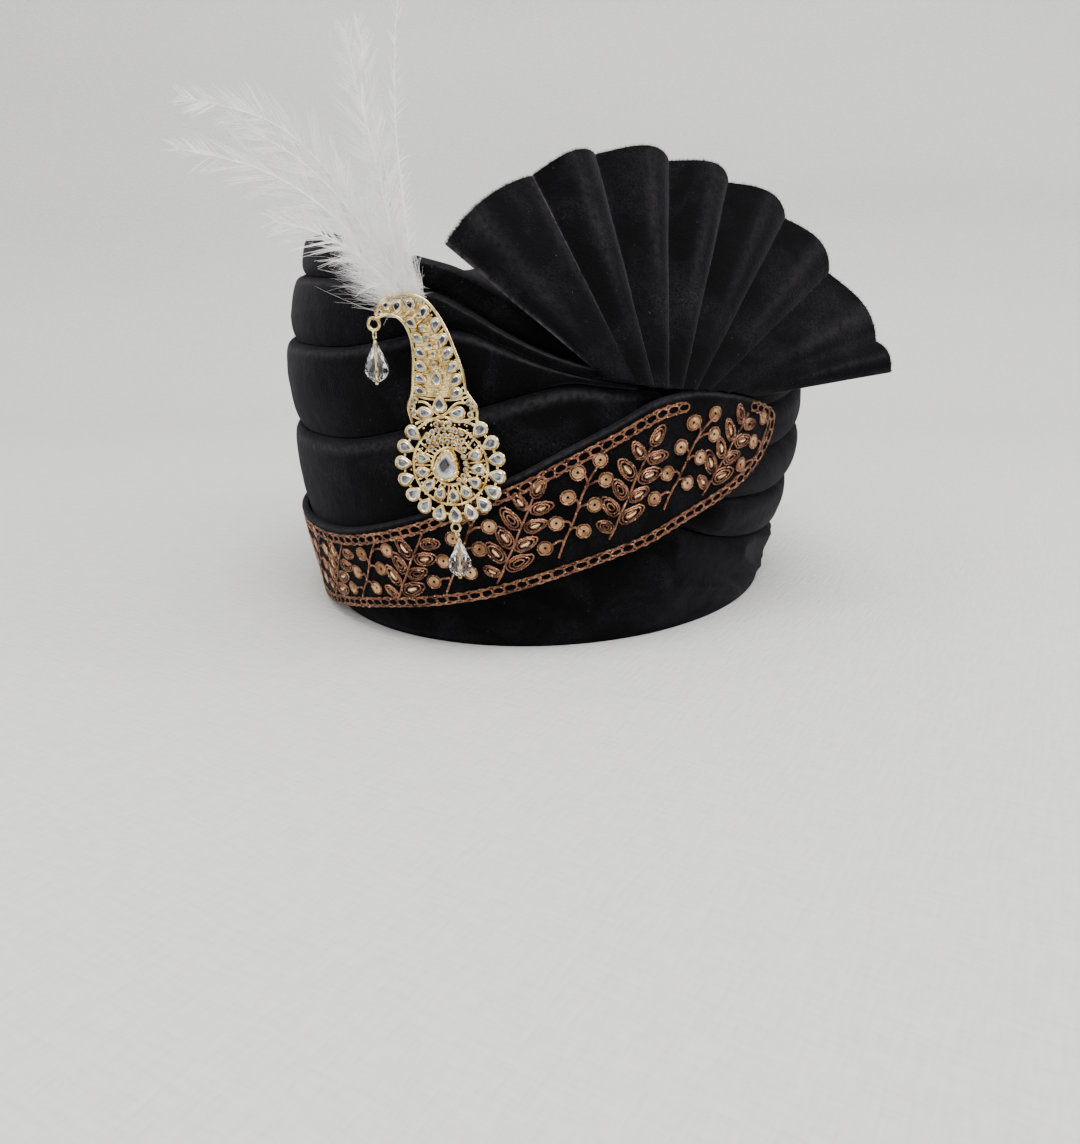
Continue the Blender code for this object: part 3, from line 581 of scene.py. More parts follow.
@dataclass(frozen=True)
class Sequin:
    """Stamped sequins: thin metal with a satin glow."""

    name: str = "gold_sequin"
    dark: Colour = (0.24, 0.12, 0.055)
    bright: Colour = (0.66, 0.40, 0.22)
    roughness: float = 0.33

    def material(self) -> Finish:
        """The finished material."""
        pen = Palette(self.name)
        pen.set(Metallic=1.0, Roughness=self.roughness)
        tone = pen.ramp(pen.mottle(120.0, 3), 0.40, 0.62)
        pen.link(pen.mix(tone, self.dark, self.bright), "Base Color")
        pen.link(pen.bump(pen.mottle(1500.0, 2), 0.00008), "Normal")
        return pen.material


@dataclass(frozen=True)
class Gold:
    """Pale gold plating, polished, with a slight haze and tiny pits."""

    name: str = "pale_gold"
    light: Colour = (0.88, 0.72, 0.39)
    deep: Colour = (0.42, 0.27, 0.09)
    roughness: float = 0.12

    def material(self) -> Finish:
        """The finished material."""
        pen = Palette(self.name)
        pen.set(Metallic=1.0)
        haze = pen.mottle(300.0, 3)
        pen.link(pen.mix(pen.ramp(haze, 0.42, 0.68), self.light, self.deep), "Base Color")
        pen.link(pen.ramp(haze, 0.3, 0.7, (self.roughness * 0.8, self.roughness * 1.6)), "Roughness")
        pen.link(pen.bump(pen.mottle(1500.0, 2), 0.00005), "Normal")
        return pen.material


@dataclass(frozen=True)
class Crystal:
    """Clear cut glass."""

    name: str = "clear_crystal"
    tint: Colour = (0.97, 0.98, 1.0)
    index: float = 1.58

    def material(self) -> Finish:
        """The finished material."""
        pen = Palette(self.name)
        pen.set(Base_Color=self.tint, Transmission_Weight=1.0, IOR=self.index)
        pen.link(pen.ramp(pen.mottle(500.0, 2), 0.3, 0.7, (0.005, 0.03)), "Roughness")
        return pen.material


@dataclass(frozen=True)
class FoiledStone:
    """Glass stones over silver foil, with a painted reflection: bright at the rim, dark in the middle
    where they are looked through.
    """

    name: str = "foiled_stone"
    # Painted reflection colours: the bright rim and the dark heart.
    rim: Colour = (0.86, 0.87, 0.89)
    heart: Colour = (0.028, 0.027, 0.036)

    def material(self) -> Finish:
        """The finished material."""
        pen = Palette(self.name)
        pen.set(Metallic=0.9, Coat_Weight=1.0, Coat_Roughness=0.02)
        # Painted reflection: the point attribute turns each stone from the bright rim to the dark heart
        # at its table.
        dark = pen.ramp(pen.attribute("painted_light"), 0.15, 0.9)
        broken = pen.reckon("MULTIPLY", dark, pen.ramp(pen.mottle(420.0, 2), 0.30, 0.55, (0.60, 1.0)))
        pen.link(pen.mix(broken, self.rim, self.heart), "Base Color")
        pen.link(pen.ramp(pen.mottle(700.0, 2), 0.3, 0.7, (0.04, 0.12)), "Roughness")
        return pen.material


@dataclass(frozen=True)
class Feather:
    """White down and hackle, slightly translucent."""

    name: str = "white_feather"
    light: Colour = (0.97, 0.97, 0.96)
    shade: Colour = (0.88, 0.88, 0.87)

    def material(self) -> Finish:
        """The finished material."""
        pen = Palette(self.name)
        pen.set(Roughness=0.6, Sheen_Weight=0.7, Sheen_Roughness=0.35, Specular_IOR_Level=0.5)
        pen.link(pen.mix(pen.mottle(220.0, 2), self.shade, self.light), "Base Color")
        pen.link(pen.bump(pen.mottle(3000.0, 1), 0.00005), "Normal")
        return pen.material


@dataclass(frozen=True)
class PaleCloth:
    """The pale woven cloth that the turban is shown on."""

    name: str = "pale_cloth"
    light: Colour = (0.595, 0.60, 0.578)
    shade: Colour = (0.50, 0.505, 0.488)

    def material(self) -> Finish:
        """The finished material."""
        pen = Palette(self.name)
        pen.set(Roughness=0.9, Specular_IOR_Level=0.1)
        weave = pen.reckon(
            "ADD", pen.mottle(700.0, 1, (1.0, 0.15, 1.0)), pen.mottle(700.0, 1, (0.15, 1.0, 1.0))
        )
        tone = pen.reckon("MULTIPLY", pen.ramp(weave, 0.7, 1.3), 0.5)
        pen.link(pen.mix(tone, self.light, self.shade), "Base Color")
        pen.link(pen.bump(weave, 0.0004), "Normal")
        return pen.material


# The turban's form, on which every piece lies


@dataclass
class Form:
    """The wound body: its head opening, its barrel outline, its seams and its border."""

    head_width: float = 0.172
    head_length: float = 0.200
    cap_wall: float = 0.0030
    crown_height: float = 0.130
    body_height: float = 0.143
    wrap_build: float = 0.0180
    collar_depth: float = 0.008
    lap_step: float = 0.003
    roll_notch: float = 0.006
    end_tuck: float = 0.006
    wrap_edge: float = 0.001
    piece_gap: float = 0.0004
    rim_ease: float = 0.75
    band_wall: float = 0.0020
    barrel: Course = field(default_factory=lambda: Course("height build", (
        (0.00, 0.38), (0.07, 0.47), (0.16, 0.62), (0.28, 0.80), (0.42, 0.94),
        (0.56, 1.00), (0.70, 1.00), (0.84, 0.80), (1.00, 0.40),
    )))
    dome: Course = field(default_factory=lambda: Course("height width", (
        (0.00, 1.000), (0.30, 1.000), (0.62, 1.000), (0.76, 0.975),
        (0.86, 0.900), (0.93, 0.770), (0.975, 0.560), (0.995, 0.300),
    )))
    seams: Course = field(default_factory=lambda: Course(
        "azimuth hem foot first second ridge top roundness", (
            (-304, 0.310, 0.318, 0.364, 0.470, 0.560, 0.620, 0.7),
            (-290, 0.240, 0.243, 0.343, 0.460, 0.572, 0.645, 0.9),
            (-270, 0.186, 0.189, 0.315, 0.448, 0.566, 0.685, 1.0),
            (-240, 0.168, 0.172, 0.343, 0.490, 0.610, 0.745, 1.0),
            (-180, 0.150, 0.154, 0.406, 0.576, 0.710, 0.835, 1.0),
            (-120, 0.134, 0.140, 0.470, 0.650, 0.780, 0.885, 0.8),
            (-60, 0.134, 0.140, 0.503, 0.727, 0.888, 1.000, 0.3),
            (-35, 0.138, 0.147, 0.503, 0.727, 0.892, 1.000, 0.1),
            (-10, 0.160, 0.175, 0.517, 0.738, 0.888, 0.972, 0.0),
            (10, 0.205, 0.231, 0.577, 0.783, 0.867, 0.930, 0.0),
            (17, 0.225, 0.259, 0.605, 0.783, 0.828, 0.902, 0.0),
            (24, 0.245, 0.301, 0.633, 0.748, 0.780, 0.860, 0.0),
            (30, 0.262, 0.336, 0.655, 0.715, 0.744, 0.818, 0.0),
            (36, 0.278, 0.378, 0.668, 0.690, 0.716, 0.783, 0.0),
            (43, 0.292, 0.420, 0.655, 0.670, 0.692, 0.745, 0.0),
            (58, 0.310, 0.517, 0.628, 0.640, 0.660, 0.690, 0.2),
        )))
    folds: Course = field(default_factory=lambda: Course("up lap roll", (
        (0.00, 1.00, 1.00), (0.05, 0.80, 0.60), (0.18, 0.45, 0.22), (0.38, 0.20, 0.04),
        (0.62, 0.04, 0.00), (0.84, 0.00, 0.14), (0.95, 0.16, 0.50), (1.00, 0.75, 1.00),
    )))
    band: Course = field(default_factory=lambda: Course("azimuth lower upper", (
        (-172, 0.350, 0.400), (-164, 0.260, 0.395), (-150, 0.150, 0.372), (-120, 0.060, 0.315),
        (-90, 0.026, 0.284), (-60, 0.012, 0.268), (-31, 0.012, 0.268), (-15, 0.050, 0.280),
        (-4, 0.081, 0.311), (7, 0.108, 0.357), (17, 0.136, 0.413), (26, 0.168, 0.465),
        (34, 0.203, 0.520), (42.5, 0.238, 0.575), (51, 0.273, 0.629), (59, 0.322, 0.641),
        (67, 0.364, 0.625), (74.5, 0.416, 0.600), (78.5, 0.469, 0.580), (80.5, 0.520, 0.564),
    )))

    def place(
        self, azimuth: Array, build: Array, height: Array, squeeze: float = 1.0
    ) -> Array:
        """Points that stand out from the opening's oval.

        Args:
            azimuth: Degrees from the front.
            build: How far each point stands out from the oval.
            height: Height of each point.
            squeeze: The oval's size as a share of the opening's.

        Returns:
            The points, xyz last.
        """
        azimuth, build, height = np.broadcast_arrays(azimuth, build, height)
        turn = np.radians(azimuth)
        across = self.head_width / 2 * squeeze + build
        along = self.head_length / 2 * squeeze + build
        return np.stack([across * np.sin(turn), -along * np.cos(turn), height], -1)

    def barrel_build(self, height: Array) -> Array:
        """How far the body stands out from the opening at each height."""
        return self.wrap_build * self.barrel.at("build", np.asarray(height) / self.body_height)

    def cap_build(self, height: Array) -> Array:
        """How far the cap stands out from the opening at each height."""
        width = self.dome.at("width", np.asarray(height) / self.crown_height)
        return self.cap_wall + (width - 1) * self.head_width / 2

    def seam(self, line: str, azimuth: Array) -> Array:
        """A seam's height at each azimuth."""
        return self.body_height * self.seams.at(line, azimuth)

    def band_edge(self, edge: str, azimuth: Array) -> Array:
        """The height of the band's lower or upper edge at each azimuth."""
        return self.body_height * self.band.at(edge, azimuth)

    def settle(self, points: Array, lift: float | Array) -> Array:
        """Points drawn in or out until they lie at a distance from the barrel's outline.

        Args:
            points: Points near the body.
            lift: How far out from the barrel they are to lie.

        Returns:
            The points on the body.
        """
        build = self.barrel_build(points[..., 2]) + lift
        turn = np.arctan2(
            points[..., 0] / (self.head_width / 2 + build),
            -points[..., 1] / (self.head_length / 2 + build),
        )
        return self.place(np.degrees(turn), build, points[..., 2])

    def outward(self, points: Array) -> Array:
        """The directions that point straight out of the body.

        Args:
            points: Points on the body.

        Returns:
            A direction of length one at each.
        """
        step = 0.0005
        height = points[..., 2]
        slope = (self.barrel_build(height + step) - self.barrel_build(height - step)) / (2 * step)
        half_width = self.head_width / 2 + self.barrel_build(height)
        half_length = self.head_length / 2 + self.barrel_build(height)
        level = unit(xyz(points[..., 0] / half_width**2, points[..., 1] / half_length**2, 0.0))
        return unit(level - np.array([0.0, 0.0, 1.0]) * slope[..., None])


@dataclass
class WrapCourse:
    """One turn of the wound velvet: its seams and the azimuths that it runs between."""

    name: str
    lower: str
    upper: str
    start: float
    end: float
    start_sink: float
    sinks_over: float
    seed: float


@dataclass
class Wraps:
    """The wound velvet round the cap, turn by turn, with its creases and rolls."""

    form: Form
    finish: Finish
    turns: int = 320
    rows: int = 34
    end_sinks_over: float = 14.0
    crease_depth: float = 0.0013
    sag_depth: float = 0.0012
    gather_depth: float = 0.0019
    gather_slant: float = 0.22
    rim_crease_share: float = 1.6
    courses: tuple[WrapCourse, ...] = (
        WrapCourse("wrap_1", "foot", "first", 54, -303, 0.8, 12, 3.0),
        WrapCourse("wrap_2", "first", "second", 48, -303, 0.3, 12, 11.0),
        WrapCourse("wrap_3", "second", "ridge", 50, -300, 0.3, 12, 19.0),
        WrapCourse("wrap_4", "ridge", "top", 52, -300, 1.0, 60, 27.0),
    )

    def creases(
        self, azimuth: Array, height: Array, slant: float, seed: float, roundness: Array,
    ) -> Array:
        """How far the cloth stands in or out of its plain form.

        Args:
            azimuth: Degrees from the front.
            height: Height of each point.
            slant: How far up a crease runs in each metre along the cloth.
            seed: Shifts the noise from wrap to wrap.
            roundness: 0 in front, 1 on the rolls behind.

        Returns:
            Metres outward at each point.
        """
        along = np.radians(azimuth) * (self.form.head_length / 2 + self.form.wrap_build)
        across = height - slant * along
        flat = xyz(along, across, 0.0)
        fine = patches(flat, (13.0, 120.0, 1.0), seed)
        ridged = 1 - 2 * np.abs(patches(flat, (8.0, 62.0, 1.0), seed + 5.3)) ** 0.7
        sag = patches(flat, (16.0, 26.0, 1.0), seed + 9.7)
        strength = 0.35 + 0.65 * roundness
        return (
            self.crease_depth * strength * (0.5 * fine + 0.5 * ridged)
            + self.sag_depth * sag * (0.4 + 0.6 * roundness)
        )

    def gathers(self, azimuth: Array, height: Array) -> Array:
        """Soft ridges where the rim's cloth is drawn up under the fan.

        Args:
            azimuth: Degrees from the front.
            height: Height of each point.

        Returns:
            About -1 to 1 at each point, and 0 elsewhere round the rim.
        """
        turned = np.mod(azimuth, 360)
        gather = soft_step(turned, 18, 48) * (1 - soft_step(turned, 112, 160))
        along = np.radians(turned) * (self.form.head_length / 2 + self.form.wrap_build)
        flat = xyz(along, height + self.gather_slant * along, 0.0)
        folded = 1 - 2 * np.abs(patches(flat, (17.0, 70.0, 1.0), 33.0)) ** 0.65
        return gather * (folded - 0.3)

    def inner_build(self, height: Array, tuck: Array) -> Array:
        """How far a wrap's inner face stands out from the opening."""
        form = self.form
        collar = np.minimum(form.cap_wall, form.barrel_build(height) - form.collar_depth - tuck)
        return np.maximum(form.cap_build(height), collar) + form.piece_gap

    def build_wrap(self, course: WrapCourse) -> Piece:
        """One wrap, from beside the fan's foot round by the back to under the band.

        Args:
            course: The wrap's seams and reach.

        Returns:
            The piece.
        """
        form = self.form
        azimuth = np.linspace(course.end, course.start, self.turns)[:, None]
        low = form.seam(course.lower, azimuth) + form.piece_gap / 2
        high = form.seam(course.upper, azimuth) - form.piece_gap / 2
        roundness = form.seams.at("roundness", azimuth)
        start_sink = course.start_sink * (1 - soft_step(course.start - azimuth, 0, course.sinks_over))
        end_sink = 1 - soft_step(azimuth - course.end, 0, self.end_sinks_over)
        tuck = form.end_tuck * np.maximum(start_sink, end_sink)
        up = (1 - np.cos(np.pi * np.arange(self.rows) / (self.rows - 1))) / 2
        up = 0.5 * up + 0.5 * np.arange(self.rows) / (self.rows - 1)
        height = low + up * (high - low)
        recess = form.lap_step * form.folds.at("lap", up) * (1 - roundness)
        recess = recess + form.roll_notch * form.folds.at("roll", up) * roundness
        middle = np.sin(np.pi * up) ** 0.5
        creases = self.creases(azimuth, height, 0.10, course.seed, roundness * np.ones_like(height))
        build = form.barrel_build(height) - recess - tuck + creases * middle
        build = np.maximum(build, self.inner_build(height, tuck) + form.wrap_edge)
        outer = form.place(azimuth, build, height)
        inner_height = np.concatenate([high, low], 1)
        inner = form.place(azimuth, self.inner_build(inner_height, tuck), inner_height)
        # Painted highlight along each wrap's folded top edge in front, where the light catches it.
        edge = np.exp(-((up - 0.93) / 0.035) ** 2) * (1 - roundness) * 0.35
        painted_light = np.concatenate([np.broadcast_to(edge, height.shape), 0 * inner_height], 1)
        skin = Skin()
        skin.grid(np.concatenate([outer, inner], 1), around=True, ends=True, painted_light=painted_light)
        piece = skin.build(course.name + "_velvet", [self.finish], "velvet", [course.name])
        return piece

    def build_rim(self) -> Piece:
        """The lowest turn, a closed ring with soft slanting creases, flat where it rests.

        Returns:
            The piece.
        """
        form = self.form
        azimuth = np.linspace(58, -302, self.turns, endpoint=False)[:, None]
        high = form.seam("hem", azimuth) - form.piece_gap / 2
        inner = form.cap_wall + form.piece_gap
        up = np.arange(self.rows) / (self.rows - 1)
        height = up * high
        edge = form.lap_step * 0.4 * np.abs(2 * up - 1) ** 6
        roundness = form.seams.at("roundness", azimuth) * np.ones_like(height)
        middle = soft_step(up, 0.0, 0.15) * (1 - soft_step(up, 0.9, 1.0))
        creases = self.creases(azimuth, height, -0.45, 40.0, roundness) * self.rim_crease_share
        creases = creases + self.gather_depth * self.gathers(azimuth, height)
        build = form.barrel_build(height) * form.rim_ease - edge + creases * middle
        build = np.maximum(build, inner + form.wrap_edge)
        outer = form.place(azimuth, build, height)
        inner_height = np.concatenate([high, 0 * high], 1)
        back = form.place(azimuth, inner + 0 * inner_height, inner_height)
        skin = Skin()
        skin.grid(np.concatenate([outer, back], 1), around=True, along=True)
        piece = skin.build("rim_wrap_velvet", [self.finish], "velvet", ["rim_wrap"])
        return piece

    def build(self) -> list[Piece]:
        """Every turn of velvet, from the rim up."""
        return [self.build_rim()] + [self.build_wrap(course) for course in self.courses]


@dataclass
class Cap:
    """The cap: a lined wall down to the rim, and a crown in soft gathers on top."""

    form: Form
    velvet: Finish
    lining: Finish
    turns: int = 180
    rows: int = 56
    gathers: int = 17
    gather_depth: float = 0.0011
    swirl: float = 2.2

    def build(self) -> Piece:
        """The cap as one closed wall, velvet outside and lining inside.

        Returns:
            The piece.
        """
        form = self.form
        azimuth = 360 * np.arange(self.turns) / self.turns
        height = np.linspace(0, 0.99, self.rows)
        height = 1 - (1 - height) ** 2.4
        width = form.dome.at("width", height)
        turn = np.radians(azimuth)[None, :]
        swirl = turn + self.swirl * (1 - width[:, None])
        pleat = np.cos(self.gathers * swirl + 0.8 * np.sin(3 * turn))
        crown = soft_step(height, 0.70, 0.93)[:, None] * soft_step(width, 0.10, 0.5)[:, None]
        rise = self.gather_depth * crown * (pleat - 0.6)
        out, inside = [], []
        for k, level in enumerate(height):
            out.append(form.place(
                azimuth, form.cap_wall + rise[k] * 0.5, level * form.crown_height + rise[k], width[k]))
            lower = level * (form.crown_height - form.cap_wall)
            inside.append(form.place(azimuth, 0.0, lower, width[k]))
        skin = Skin()
        skin.grid(np.array(out), around=True)
        base = skin.count
        skin.grid(np.array(inside)[:, ::-1], around=True, finish=1)
        count = self.turns
        top, lower_top = base - count, skin.count - count
        apex = skin.count
        skin.add(np.array([(0, 0, form.crown_height), (0, 0, form.crown_height - form.cap_wall)]), [])
        crown_faces = [[top + k, top + (k + 1) % count, apex] for k in range(count)]
        lining_faces = []
        for k in range(count):
            after = (k + 1) % count
            lining_faces.append([lower_top + k, lower_top + after, apex + 1])
            lining_faces.append([k, base + count - 1 - k, base + count - 1 - after, after])
        skin.faces += crown_faces + lining_faces
        skin.finishes += [0] * len(crown_faces) + [1] * len(lining_faces)
        return skin.build("cap_velvet_and_lining", [self.velvet, self.lining], "cap_velvet", ["cap"])


@dataclass
class Fan:
    """The pleated fan: broad pleats between sharp valleys, with a fringe of pile at its cut edge."""

    form: Form
    finish: Finish
    length: float = 0.088
    wall: float = 0.0016
    pleat_depth: float = 0.0056
    facing: float = 55.0
    lean: float = 25.0
    foot_azimuth: float = 58.0
    foot_height: float = 0.09252
    foot_depth_share: float = 0.16
    crest: float = 1.006
    columns: int = 20
    rows: int = 56
    cut_width: float = 0.205
    cut_length: float = 0.091
    cut_area: float = 0.0130
    fringe_hairs: int = 5200
    fringe_reach: tuple[float, float] = (0.0006, 0.0015)
    hair_width: float = 0.00012
    hair_root: float = 0.0003
    crush_depth: float = 0.0005
    valley_share: float = 0.016
    # Strengths of the painted highlight lines along the valleys and of the painted sheen on the pleats'
    # flanks.
    valley_highlight: float = 0.95
    flank_highlight: float = 0.13
    valleys: Course = field(default_factory=lambda: Course("place angle length foot rise depth lean", (
        (0, -56.4, 1.058, -16.5, 0.062, 0.55, 0.6), (1, -30.0, 0.986, -11.5, 0.036, 0.85, 1.3),
        (2, -12.5, 0.975, -8.2, 0.022, 1.00, 1.6), (3, 6.9, 0.943, -5.4, 0.012, 1.00, 1.6),
        (4, 24.0, 0.936, -2.6, 0.006, 1.00, 1.4), (5, 41.8, 0.947, 0.4, 0.000, 1.00, 1.4),
        (6, 59.7, 0.922, 3.4, -0.008, 0.90, 1.6), (7, 81.1, 0.977, 8.0, -0.022, 0.55, 1.0),
        (8, 88.9, 1.009, 15.0, -0.050, 0.35, 1.0),
    )))

    def axes(self) -> tuple[Array, Array, Array, Array]:
        """The fan's plane.

        Returns:
            Its middle foot point, and the directions right, up and out.
        """
        facing, lean = math.radians(self.facing), math.radians(self.lean)
        right = np.array([math.cos(facing), math.sin(facing), 0.0])
        level = math.cos(lean)
        out = np.array([math.sin(facing) * level, -math.cos(facing) * level, math.sin(lean)])
        foot = self.form.place(
            self.foot_azimuth, self.form.barrel_build(self.foot_height), self.foot_height)
        return foot, right, np.cross(out, right), out

    def surface(self, position: Array, share: Array) -> Array:
        """Points of the fan's middle sheet.

        Args:
            position: Valleys counted from the left edge.
            share: 0 at the foot, 1 at the rim.

        Returns:
            The points, positions by shares by xyz.
        """
        foot, right, up, out = self.axes()
        whole = np.minimum(position.astype(int), len(self.valleys.keys) - 2)
        part = position - whole

        def between(column: str) -> Array:
            """A column's value at each position, straight between its valleys."""
            values = self.valleys.columns[column]
            return values[whole] * (1 - part) + values[whole + 1] * part

        crest = np.sin(np.pi * part ** self.valleys.columns["lean"][whole])
        angle = np.radians(between("angle"))
        length = self.length * between("length") * (1 + (self.crest - 1) * crest)
        spoke = np.sin(angle)[:, None] * right + np.cos(angle)[:, None] * up
        rim = foot + length[:, None] * spoke
        height = self.foot_height + self.length * between("rise")
        stand_off = self.form.piece_gap + (self.wall + self.pleat_depth * self.foot_depth_share) / 2
        build = self.form.barrel_build(height) + stand_off
        start = self.form.place(self.foot_azimuth + between("foot"), build, height)
        growth = (between("depth") - self.foot_depth_share)[:, None] * share
        depth = self.pleat_depth * (self.foot_depth_share + growth)
        swell = crest**0.8 - 0.5
        middle = start[:, None, :] * (1 - share[None, :, None]) + rim[:, None, :] * share[None, :, None]
        return middle + out * (depth * swell[:, None])[..., None]

    def build(self) -> Piece:
        """The fan's cloth, folded double so that it has a face on both sides.

        Returns:
            The piece.
        """
        pleats = len(self.valleys.keys) - 1
        steps = (1 - np.cos(np.pi * np.arange(self.columns) / self.columns)) / 2
        steps = 0.6 * steps + 0.4 * np.arange(self.columns) / self.columns
        position = np.concatenate([steps + pleat for pleat in range(pleats)] + [[pleats - 1e-9]])
        share = np.linspace(0, 1, self.rows)
        middle = self.surface(position, share)
        crush = patches(middle, (55.0, 55.0, 55.0), 71.0) * self.crush_depth
        out = self.axes()[3]
        middle = middle + out * (crush * soft_step(share, 0.1, 0.5))[..., None]
        along = np.gradient(middle, axis=0)
        upward = np.gradient(middle, axis=1)
        normal = unit(np.cross(upward, along))
        normal *= np.sign((normal * out).sum(-1, keepdims=True) + 1e-9)
        front = middle + normal * self.wall / 2
        back = middle - normal * self.wall / 2
        whole = np.minimum(position.astype(int), pleats - 1)
        part = position - whole
        crest = 0.5 ** (1 / self.valleys.columns["lean"][whole])
        # Painted highlights: thin lit lines along the valleys, and soft painted sheen on the crests and
        # just left of each valley.
        valley = np.exp(-(np.minimum(part, 1 - part) / self.valley_share) ** 2)
        glow = np.exp(-(((part - crest) / 0.10) ** 2)) + 0.8 * np.exp(-(((part - 0.93) / 0.05) ** 2))
        painted_light = self.valley_highlight * valley[:, None] * soft_step(share, 0.03, 0.25)
        painted_light = painted_light + self.flank_highlight * glow[:, None] * soft_step(share, 0.15, 0.6)
        painted_light = painted_light * (0.8 + 0.35 * patches(middle, (45.0, 45.0, 45.0), 13.0))
        skin = Skin()
        rim = np.concatenate([front, back[:, ::-1]], 1)
        # The back face takes the painted highlight at half strength.
        both = np.concatenate([painted_light, painted_light[:, ::-1] * 0.5], 1)
        skin.grid(rim, around=True, ends=True, painted_light=np.clip(both, 0, 1))
        fan = skin.build("fan_velvet", [self.finish], "fan_velvet", ["fan"], crease=75.0)
        fringe = self.build_fringe(front[:, -1], back[:, -1], normal[:, -1], middle)
        return fan

    def build_fringe(self, front: Array, back: Array, normal: Array, middle: Array) -> Piece:
        """Short pile hairs along the cut edge.

        Args:
            front: The edge's line on the front face.
            back: The edge's line on the back face.
            normal: Directions out of the front face along the edge.
            middle: The sheet's middle, for the edge's own direction.

        Returns:
            The piece.
        """
        chance = np.random.default_rng(5)
        outward = unit(middle[:, -1] - middle[:, -4])
        run = run_along(front)
        count = self.fringe_hairs
        places = np.sort(chance.uniform(0, run[-1], count))
        deep = chance.uniform(0, 1, count)[:, None]
        front, back, outward, normal = (
            read_along(values, run, places) for values in (front, back, outward, normal))
        root = front * (1 - deep) + back * deep
        lean = chance.normal(0, 0.35, (count, 3))
        growth = unit(outward + lean + normal * (0.5 - deep) * 0.9)
        length = chance.uniform(*self.fringe_reach, count)[:, None]
        tip = root + growth * length
        side = unit(np.cross(growth, normal)) * self.hair_width / 2
        root = root - growth * self.hair_root
        points = np.stack([root - side, root + side, tip], 1).reshape(-1, 3)
        skin = Skin()
        skin.add(points, np.arange(3 * count).reshape(-1, 3).tolist())
        return skin.build("fan_pile_fringe", [self.finish], "fan_velvet")


@dataclass
class BandGround:
    """The border band's velvet ground, with a narrow padded roll along both edges."""

    form: Form
    finish: Finish
    turns: int = 300
    rows: int = 36
    roll_height: float = 0.0007
    roll_width: float = 0.0022
    cut_width: float = 0.041
    cut_length: float = 0.500

    def build(self) -> Piece:
        """The band as one closed strip that lies on the lowest wraps.

        Returns:
            The piece.
        """
        form = self.form
        first, last = form.band.keys[0], form.band.keys[-1]
        azimuth = np.linspace(first, last, self.turns)[:, None]
        low, high = form.band_edge("lower", azimuth), form.band_edge("upper", azimuth)
        up = (1 - np.cos(np.pi * np.arange(self.rows) / (self.rows - 1))) / 2
        height = low + up * (high - low)
        inner = form.piece_gap
        from_edge = np.minimum(up, 1 - up) * (high - low)
        from_crown = (from_edge - self.roll_width * 0.55) / (self.roll_width * 0.45)
        roll = self.roll_height * np.exp(-from_crown ** 2)
        ease = np.clip(from_edge / 0.0012, 0, 1) ** 0.5
        flat = xyz(np.radians(azimuth) * 0.115, height, 0.0)
        wave = patches(flat, (30.0, 40.0, 1.0), 51.0) * 0.00025
        build = form.barrel_build(height) + inner + (form.band_wall + roll + wave) * (0.35 + 0.65 * ease)
        outer = form.place(azimuth, build, height)
        back = form.place(azimuth, form.barrel_build(height[:, ::-1]) + inner, height[:, ::-1])
        # Painted highlight along each padded edge of the band.
        painted_light = np.exp(-((from_edge - 0.0009) / 0.0006) ** 2) * 0.35
        skin = Skin()
        skin.grid(np.concatenate([outer, back], 1), around=True, ends=True,
                  painted_light=np.concatenate([painted_light, 0 * painted_light], 1))
        return skin.build("border_band_ground", [self.finish], "zari_band", ["border_band"])

    def sew(self, ground: Piece, threads: list[Piece]) -> None:
        """Turn the embroidery pieces into a list, and nothing more."""
        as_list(threads)


# The embroidery on the band


class Lane:
    """A line on the band and the places beside it, measured along and across on the cloth."""

    def __init__(self, form: Form, points: Array, base: float) -> None:
        """Measure the line.

        Args:
            form: The turban's form.
            points: The line's points, close together.
            base: How far the cloth's face stands out from the barrel.
        """
        self.form = form
        self.base = base
        self.points = form.settle(points, base)
        self.run = run_along(self.points)
        along = unit(np.gradient(self.points, axis=0))
        self.left = unit(np.cross(form.outward(self.points), along))

    @property
    def length(self) -> float:
        """The line's whole length."""
        return float(self.run[-1])

    def at(self, distance: Array, across: Array, lift: float | Array) -> Array:
        """Points beside the line.

        Args:
            distance: Distance along the line.
            across: Distance to its left, seen from outside.
            lift: Height above the cloth's face.

        Returns:
            The points.
        """
        distance, across, lift = np.broadcast_arrays(distance, across, lift)
        left = unit(read_along(self.left, self.run, distance))
        points = read_along(self.points, self.run, distance) + left * across[..., None]
        return self.form.settle(points, self.base + lift)

    def beside(self, inset: float) -> "Lane":
        """The line that runs at a distance to the left of this one."""
        points = self.at(self.run, np.full(len(self.run), inset), 0.0)
        return Lane(self.form, even_steps(points, 0.001), self.base)


def even_steps(points: Array, step: float) -> Array:
    """A line read again at even steps.

    Args:
        points: The line's points.
        step: Distance between the new points.

    Returns:
        The new points.
    """
    run = run_along(points)
    return read_along(points, run, np.linspace(0, run[-1], max(3, round(run[-1] / step) + 1)))


